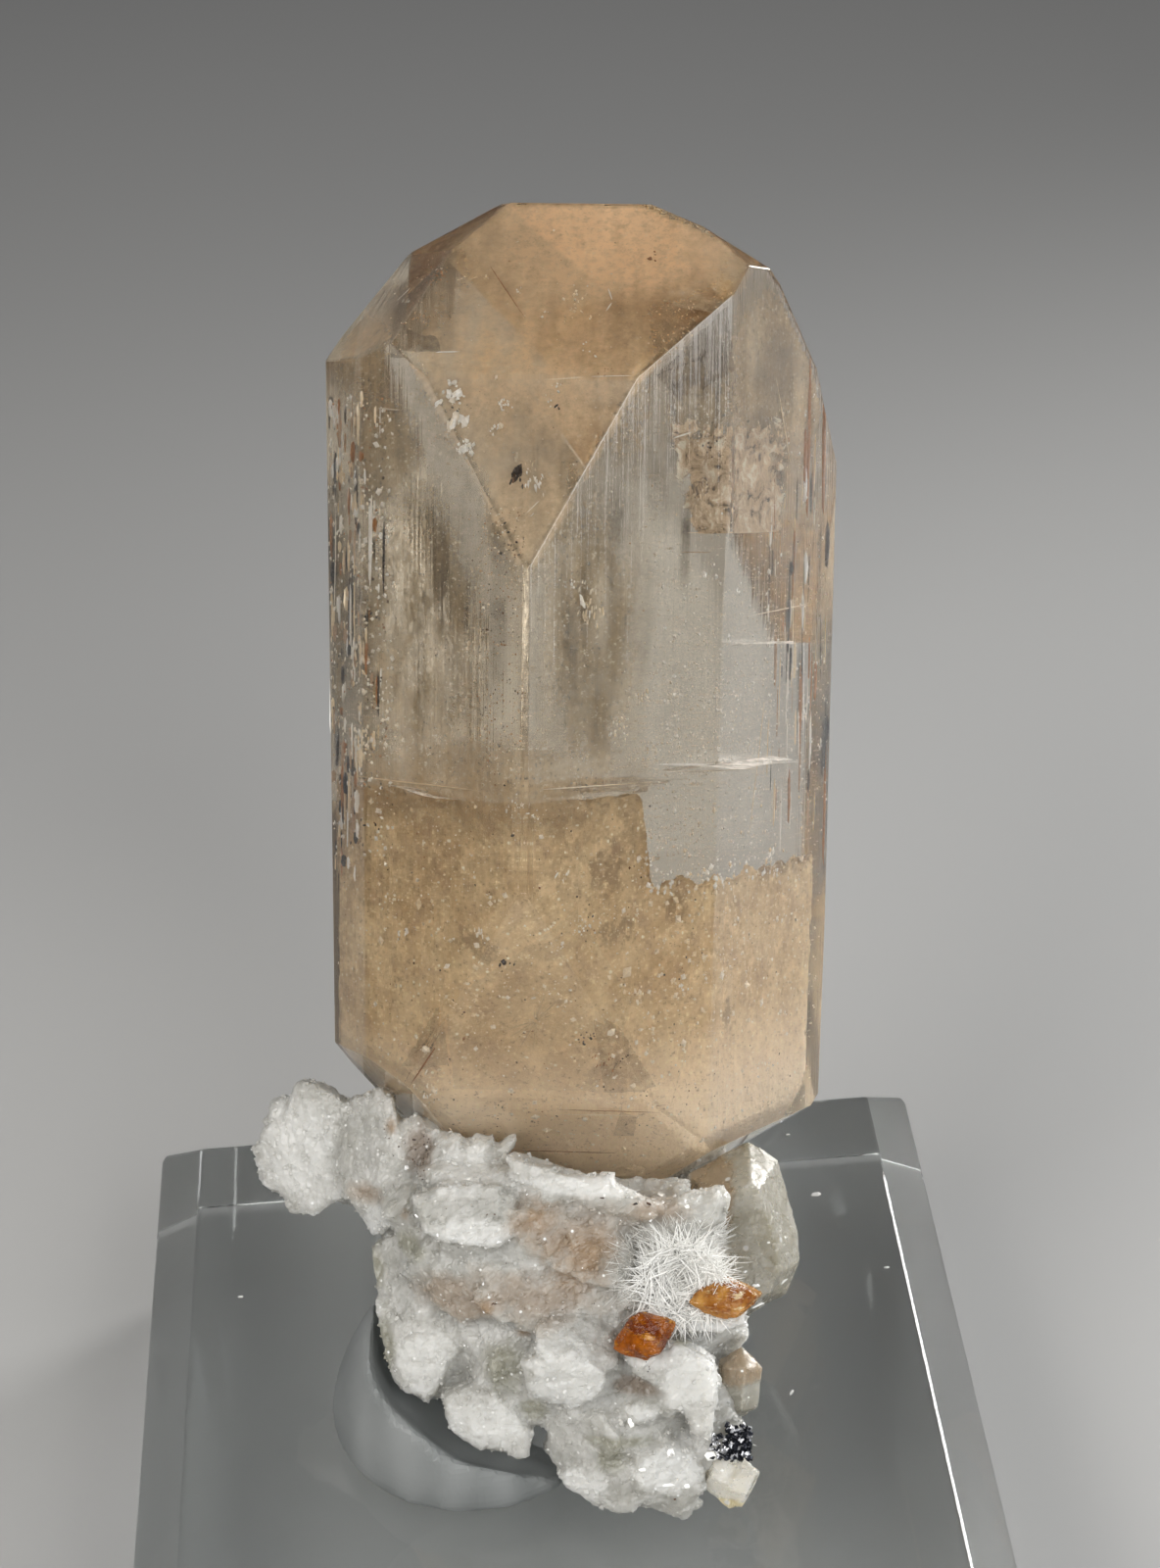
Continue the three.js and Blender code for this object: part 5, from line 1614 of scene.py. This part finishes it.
def makeGrains():
    rng = np.random.default_rng(3)
    heap = Heap()
    for middle, reach, count, leastShade in grainLook["heaps"].values():
        places = np.array(spot(*middle)) + rng.uniform(-1, 1, (count, 3)) * np.array(reach) * millimetre
        size = grainLook["size"] * millimetre * rng.uniform(0.5, 1.25, count)
        depth, height = size * rng.uniform(0.8, 1.1, count), size * rng.uniform(0.8, 1.1, count)
        shades = rng.uniform(leastShade, 1, count)
        heap.add(flakeShape(4, 0.55), tumbled(rng, np.stack([size, depth, height], axis=1)), places, shades)
    material, tree = newMaterial("grainBlack")
    pits = grainOn(tree, specimenPlace(tree), 5000.0, 9000.0)
    shiny = spread(tree, attributeValue(tree, "shade"), 0.8, 0.84)
    setShader(tree, {
        "Base Color": colourMix(tree, shiny, grainLook["black"], grainLook["silver"]),
        "Metallic": 0.7,
        "Roughness": 0.14,
        "Normal": bumped(tree, pits["Height"], 0.00004, 0.8),
    })
    addPiece("darkGrains", heap.mesh("darkGrains"), material, "dark_grains")


sprayLook = {
    "root": (7.25, 9.0, -29.75),
    "needles": [
        # least and most turn seen from the front (from the right, upward), count, shortest and longest
        (165, 235, 420, 0.9, 2.4),
        (110, 170, 200, 0.7, 1.9),
        (40, 112, 120, 0.6, 1.6),
        (-25, 40, 70, 0.6, 1.3),
        (232, 300, 40, 0.6, 1.2),
    ],
    "tangle": 1500,
    "woolly": 2600,
    "woollyZone": (6.6, -29.4, 3.1, 2.1),        # right, up, half width and half height
    "thick": 0.02,
    # the dull tone is partly random tone, partly painted shade on deeper needles
    "dull": (0.60, 0.59, 0.55, 1),
    "silk": (0.93, 0.93, 0.90, 1),
}


def needleShape():
    # a slightly bent, tapered needle, one unit long and one unit in radius
    rings = [(0.0, 0.0, 0.0, 1.0), (0.25, 0.0, 0.5, 0.9), (0.0, 0.2, 1.0, 0.25)]
    corners = [(x + radius * math.cos(turn), y + radius * math.sin(turn), z) for x, y, z, radius in rings
               for turn in (0.0, 2.094, 4.189)]
    return np.array(corners), [(2, 1, 0), (6, 7, 8)] + ringFaces(3, 2)


def makeSpray():
    rng = np.random.default_rng(12)
    needle = needleShape()
    root = np.array(spot(*sprayLook["root"]))
    heap = Heap()

    def thickness(least, most, count):
        return sprayLook["thick"] * millimetre * rng.uniform(least, most, count)

    def grow(leans, rolls, thick, lengths, starts, shades):
        heap.add(needle, turnsTo(leans, rolls, np.stack([thick, thick, lengths], axis=1)), starts, shades)

    for least, most, count, shortest, longest in sprayLook["needles"]:
        turns = np.radians(rng.uniform(least, most, count))
        raised = rng.uniform(0.05, 0.75, count)
        leans = np.stack([np.cos(turns), -raised, np.sin(turns)], axis=1)
        lengths = rng.uniform(shortest, longest, count) * millimetre * (1 - 0.35 * raised)
        thick = thickness(0.6, 1.3, count)
        starts = root + rng.normal(scale=0.3, size=(count, 3)) * millimetre * np.array([2.0, 0.5, 1.5])
        grow(leans, rng.uniform(0, fullTurn, count), thick, lengths, starts, rng.random(count))
    # short needles lie crosswise over the middle, lighter than those beneath, which read as in painted shade
    count = sprayLook["tangle"]
    turns = rng.uniform(0, 2 * math.pi, count)
    reaches = rng.uniform(0.1, 1.7, count)
    offsets = np.stack([np.cos(turns) * reaches - 0.5, -0.3 - 0.68 * reaches, np.sin(turns) * reaches],
                       axis=1)
    crossed = turns + rng.normal(scale=1.0, size=count)
    leans = np.stack([np.cos(crossed), rng.uniform(-0.5, 0.1, count), np.sin(crossed)], axis=1)
    lengths = rng.uniform(0.5, 1.4, count) * millimetre
    thick = thickness(0.9, 1.6, count)
    grow(leans, rng.uniform(0, fullTurn, count), thick, lengths, root + offsets * millimetre,
         rng.uniform(0.7, 1.0, count))
    # woolly ones stand on the albite around them, fewer toward the edge of their zone
    matrix = bpy.data.objects["albiteMatrix"].data.copy()
    matrix.transform(specimen.inverted())
    places, facing = surfaceSpots(matrix, 360 * sprayLook["woolly"], rng)
    rights, ups = places[:, 0] / millimetre, places[:, 2] / millimetre
    right, up, halfWidth, halfHeight = sprayLook["woollyZone"]
    away = np.hypot((rights - right) / halfWidth, (ups - up) / halfHeight)
    near = np.flatnonzero((away < rng.uniform(0.3, 1.0, len(away))) & (places[:, 1] < -0.0068))
    near = near[:sprayLook["woolly"]]
    places, facing = places[near], facing[near]
    count = len(near)
    outward = places - root
    leans = outward / np.maximum(np.linalg.norm(outward, axis=1, keepdims=True), 1e-6) + 0.5 * facing
    leans += rng.normal(scale=0.55, size=leans.shape)
    lengths = rng.uniform(0.3, 0.9, count) * millimetre
    thick = thickness(0.5, 1.0, count)
    grow(leans, rng.uniform(0, fullTurn, count), thick, lengths, places, rng.random(count))
    fibre, tree = newMaterial("fibreSilk")
    setShader(tree, {
        "Base Color": colourMix(tree, attributeValue(tree, "shade"), sprayLook["dull"], sprayLook["silk"]),
        "Roughness": 0.3,
        "Subsurface Weight": 0.3,
        "Subsurface Radius": (1.0, 1.0, 0.95),
        "Subsurface Scale": 0.0002,
    })
    addPiece("fibreSpray", heap.mesh("fibreSpray"), fibre, "fibre_spray")


# Painted glints, white faces on the quartz and foot: right, up, half width, half height and roll in degrees
quartzGlints = [
    (11.3, -31.2, 0.42, 0.07, 42), (10.2, -32.2, 0.5, 0.10, 22), (10.1, -31.0, 0.22, 0.10, 0),
    (6.95, -26.8, 0.14, 0.12, 0), (9.6, -30.4, 0.12, 0.08, 20), (10.6, -29.1, 0.10, 0.07, 0),
    (11.3, -29.4, 0.07, 0.05, 0), (8.1, -33.9, 0.08, 0.07, 0), (8.1, -37.3, 0.32, 0.26, 0),
    (8.0, -36.6, 0.2, 0.2, 30), (9.7, -35.1, 0.07, 0.06, 0), (9.4, -33.9, 0.08, 0.08, 0),
    (7.5, -39.9, 0.14, 0.12, 0), (9.5, -39.7, 0.5, 0.09, 22), (8.6, -38.0, 0.1, 0.07, 0),
    (4.7, -35.7, 0.16, 0.3, 8), (6.4, -37.1, 0.22, 0.24, 0), (5.2, -37.7, 0.2, 0.12, 0),
    (6.2, -38.4, 0.55, 0.10, 6), (7.1, -38.5, 0.16, 0.14, 0),
]
glintPieces = ("albiteMatrix", "sideQuartz", "quartzPrism", "quartzChip", "darkGrains")


def makeQuartzPaintedGlints():
    shape = roughStone(np.random.default_rng(8), 10, 0.8)
    heap = Heap()
    for right, up, halfWidth, halfHeight, roll in quartzGlints:
        front = max(frontAt(bpy.data.objects[name], right, up) for name in glintPieces)
        if front < 0:
            continue
        turn = Matrix.Rotation(math.radians(-roll), 3, "Y") @ Matrix.Diagonal((halfWidth, 0.05, halfHeight))
        heap.put(shape, turn, spot(right, front + 0.01, up))
    paintedGlintMaterial = makeGlintMaterial("quartzGlint", (0.96, 0.96, 0.9, 1), (1, 1, 1, 1), 0.15, 1.9)
    addPiece("quartzGlints", heap.mesh("quartzGlints"), paintedGlintMaterial)


puttyLook = {
    "voxel": 0.3,
    "smoothing": 4,
    "dark": (0.33, 0.35, 0.35, 1),
    "pale": (0.48, 0.50, 0.50, 1),
    "rings": (0.72, 0.74, 0.74, 1),
    "absorption": (0.62, 0.64, 0.64, 1),
    "density": 70.0,
}

acrylicLook = {
    "bevel": 0.15,
    "colour": (0.97, 0.98, 0.975, 1),
    "absorption": (0.55, 0.6, 0.6, 1),
    "density": 16.0,
}


def makePutty():
    mesh = smoothed(remeshed(nodeMesh("mounting_putty", False), puttyLook["voxel"]), puttyLook["smoothing"])
    putty, tree = newMaterial("puttyCloudy")
    place = specimenPlace(tree)
    grain = grainOn(tree, place, 900.0, 3000.0)
    values = {"Vector": place, "Scale": 160.0, "Distortion": 3.0, "Detail": 2.0}
    rings = addNode(tree, "ShaderNodeTexWave", values).outputs["Fac"]
    haze = noiseValue(tree, place, 180.0, 3.0)
    tone = colourMix(tree, spread(tree, haze, 0.35, 0.65), puttyLook["dark"], puttyLook["pale"])
    setShader(tree, {
        "Base Color": colourMix(tree, spread(tree, rings, 0.0, 1.0, 0.0, 0.2), tone, puttyLook["rings"]),
        "Roughness": 0.42,
        "Transmission Weight": 0.55,
        "IOR": 1.4,
        "Normal": bumped(tree, grain["Height"], 0.00004, 0.4),
    }, puttyLook["absorption"], puttyLook["density"])
    addPiece("mountingPutty", mesh, putty, "mounting_putty", False)


def makeBlock():
    block = cleanSolid(nodeMesh("display_block", False), acrylicLook["bevel"] * millimetre)
    acrylic, tree = newMaterial("acrylicClear")
    marks = noiseValue(tree, specimenPlace(tree), 90.0, 2.0, 0.6)
    setShader(tree, {
        "Base Color": acrylicLook["colour"],
        "Roughness": spread(tree, marks, 0.3, 0.7, 0.01, 0.05),
        "Transmission Weight": 1.0,
        "IOR": 1.49,
        "Normal": bumped(tree, marks, 0.00002, 0.3),
    }, acrylicLook["absorption"], acrylicLook["density"])
    addPiece("displayBlock", block, acrylic, "display_block", False)


# Dust on the block's top: right, rear, length, width and turn in degrees
blockDust = [
    (13.2, 9.8, 0.30, 0.20, 10), (-9.9, 13.0, 0.7, 0.05, 40), (-5.0, 1.5, 0.20, 0.12, 0),
    (10.4, -2.8, 0.22, 0.10, 60), (15.8, 4.5, 0.16, 0.10, 0), (12.4, 14.2, 0.12, 0.08, 0),
    (-14.4, 6.0, 0.16, 0.10, 0), (8.2, -5.6, 0.5, 0.04, -30),
]
dustHeight = 12.03


def makeDust():
    # a few crumbs and fibres of dust lying on the block
    shape = roughStone(np.random.default_rng(21), 10, 0.7)
    heap = Heap()
    for right, rear, length, width, turn in blockDust:
        lay = Matrix.Rotation(math.radians(turn), 3, "Z") @ Matrix.Diagonal((length, width, 0.04))
        heap.put(shape, lay, np.array((right, rear, dustHeight)) * millimetre)
    dust, tree = newMaterial("dustPale")
    fuzz = addNode(tree, "ShaderNodeTexNoise", {"Scale": 9000.0}).outputs["Fac"]
    setShader(tree, {"Base Color": colourMix(tree, fuzz, (0.6, 0.6, 0.58, 1), (0.8, 0.8, 0.78, 1)),
                     "Roughness": 0.9})
    addPiece("blockDust", heap.mesh("blockDust"), dust, onSpecimen=False)


stageLook = {
    "half": 1.5,
    "below": 0.0001,
    "floor": (0.43, 0.43, 0.425, 1),
    "sky": (0.94, 0.96, 1.0, 1),
    "skyStrength": 0.12,
}


def makeStage():
    half, below = stageLook["half"], -stageLook["below"]
    corners = [(-half, -half, below), (half, -half, below), (half, half, below), (-half, half, below)]
    floor = addObject("floor", asMesh("floor", corners, [(0, 1, 2, 3)]))
    material, tree = newMaterial("paleFloor")
    setShader(tree, {"Base Color": stageLook["floor"], "Roughness": 0.6})
    floor.data.materials.append(material)
    world = bpy.data.worlds.new("studio")
    world.use_nodes = True
    feed(world.node_tree, world.node_tree.nodes["Background"],
         {"Color": stageLook["sky"], "Strength": stageLook["skyStrength"]})
    bpy.context.scene.world = world


# Soft lights around the block, in metres; the spread is in degrees
studioLights = {
    "keyLight": {"at": (-0.18, -0.14, 0.24), "size": 0.16, "watts": 0.215, "spread": 100,
                 "colour": (1, 0.97, 0.93)},
    "topLight": {"at": (0.13, -0.22, 0.26), "size": 0.16, "watts": 0.145, "spread": 90,
                 "colour": (1, 0.99, 0.97)},
    "fillLight": {"at": (0.22, -0.06, 0.12), "size": 0.14, "watts": 0.06, "spread": 90,
                  "colour": (0.95, 0.97, 1)},
    "lowLight": {"at": (-0.05, -0.30, 0.03), "size": 0.18, "watts": 0.06, "spread": 80,
                 "colour": (1, 0.98, 0.94)},
    "rimLight": {"at": (0.20, 0.14, 0.07), "size": 0.10, "watts": 0.08, "spread": 60,
                 "colour": (1, 0.99, 0.97)},
}
lightTarget = (0.002, 0.008, 0.03)


def makeLights():
    for name, look in studioLights.items():
        data = bpy.data.lights.new(name, "AREA")
        data.size = look["size"]
        data.energy = look["watts"]
        data.color = look["colour"]
        data.spread = math.radians(look["spread"])
        light = addObject(name, data)
        light.location = look["at"]
        light.rotation_euler = (Vector(lightTarget) - light.location).to_track_quat("-Z", "Y").to_euler()


# Where the camera stands, in mm, and which way its axes point
cameraPose = {
    "place": (-0.974, -94.124, 109.788),
    "right": (0.99668, -0.06824, -0.04433),
    "up": (0.07540, 0.56960, 0.81845),
    "forward": (0.03061, 0.81908, -0.57286),
    "lens": 67.5,
}


def makeCamera():
    data = bpy.data.cameras.new("camera")
    data.lens = cameraPose["lens"]
    data.sensor_width = 36
    data.clip_start = 0.005
    camera = addObject("camera", data)
    columns = [Vector(cameraPose["right"]), Vector(cameraPose["up"]), -Vector(cameraPose["forward"])]
    turn = Matrix([list(column) for column in columns]).transposed().to_4x4()
    camera.matrix_world = Matrix.Translation(Vector(cameraPose["place"]) * millimetre) @ turn
    bpy.context.scene.camera = camera


bpy.context.scene.view_settings.view_transform = "Standard"
makeCamera()
makeStage()
makeLights()
print("stage ready")
makeTopaz()
makeFlakes()
makeCloud()
makeCracks()
makeFlaws()
makeVeil()
makeTornPatch()
makeGrowthSheets()
print("topaz ready")
makeMatrix()
print("matrix ready")
makeQuartz()
makeGrains()
makeSpray()
makeGarnets()
makeQuartzPaintedGlints()
makePutty()
makeBlock()
makeDust()
print("all pieces ready")
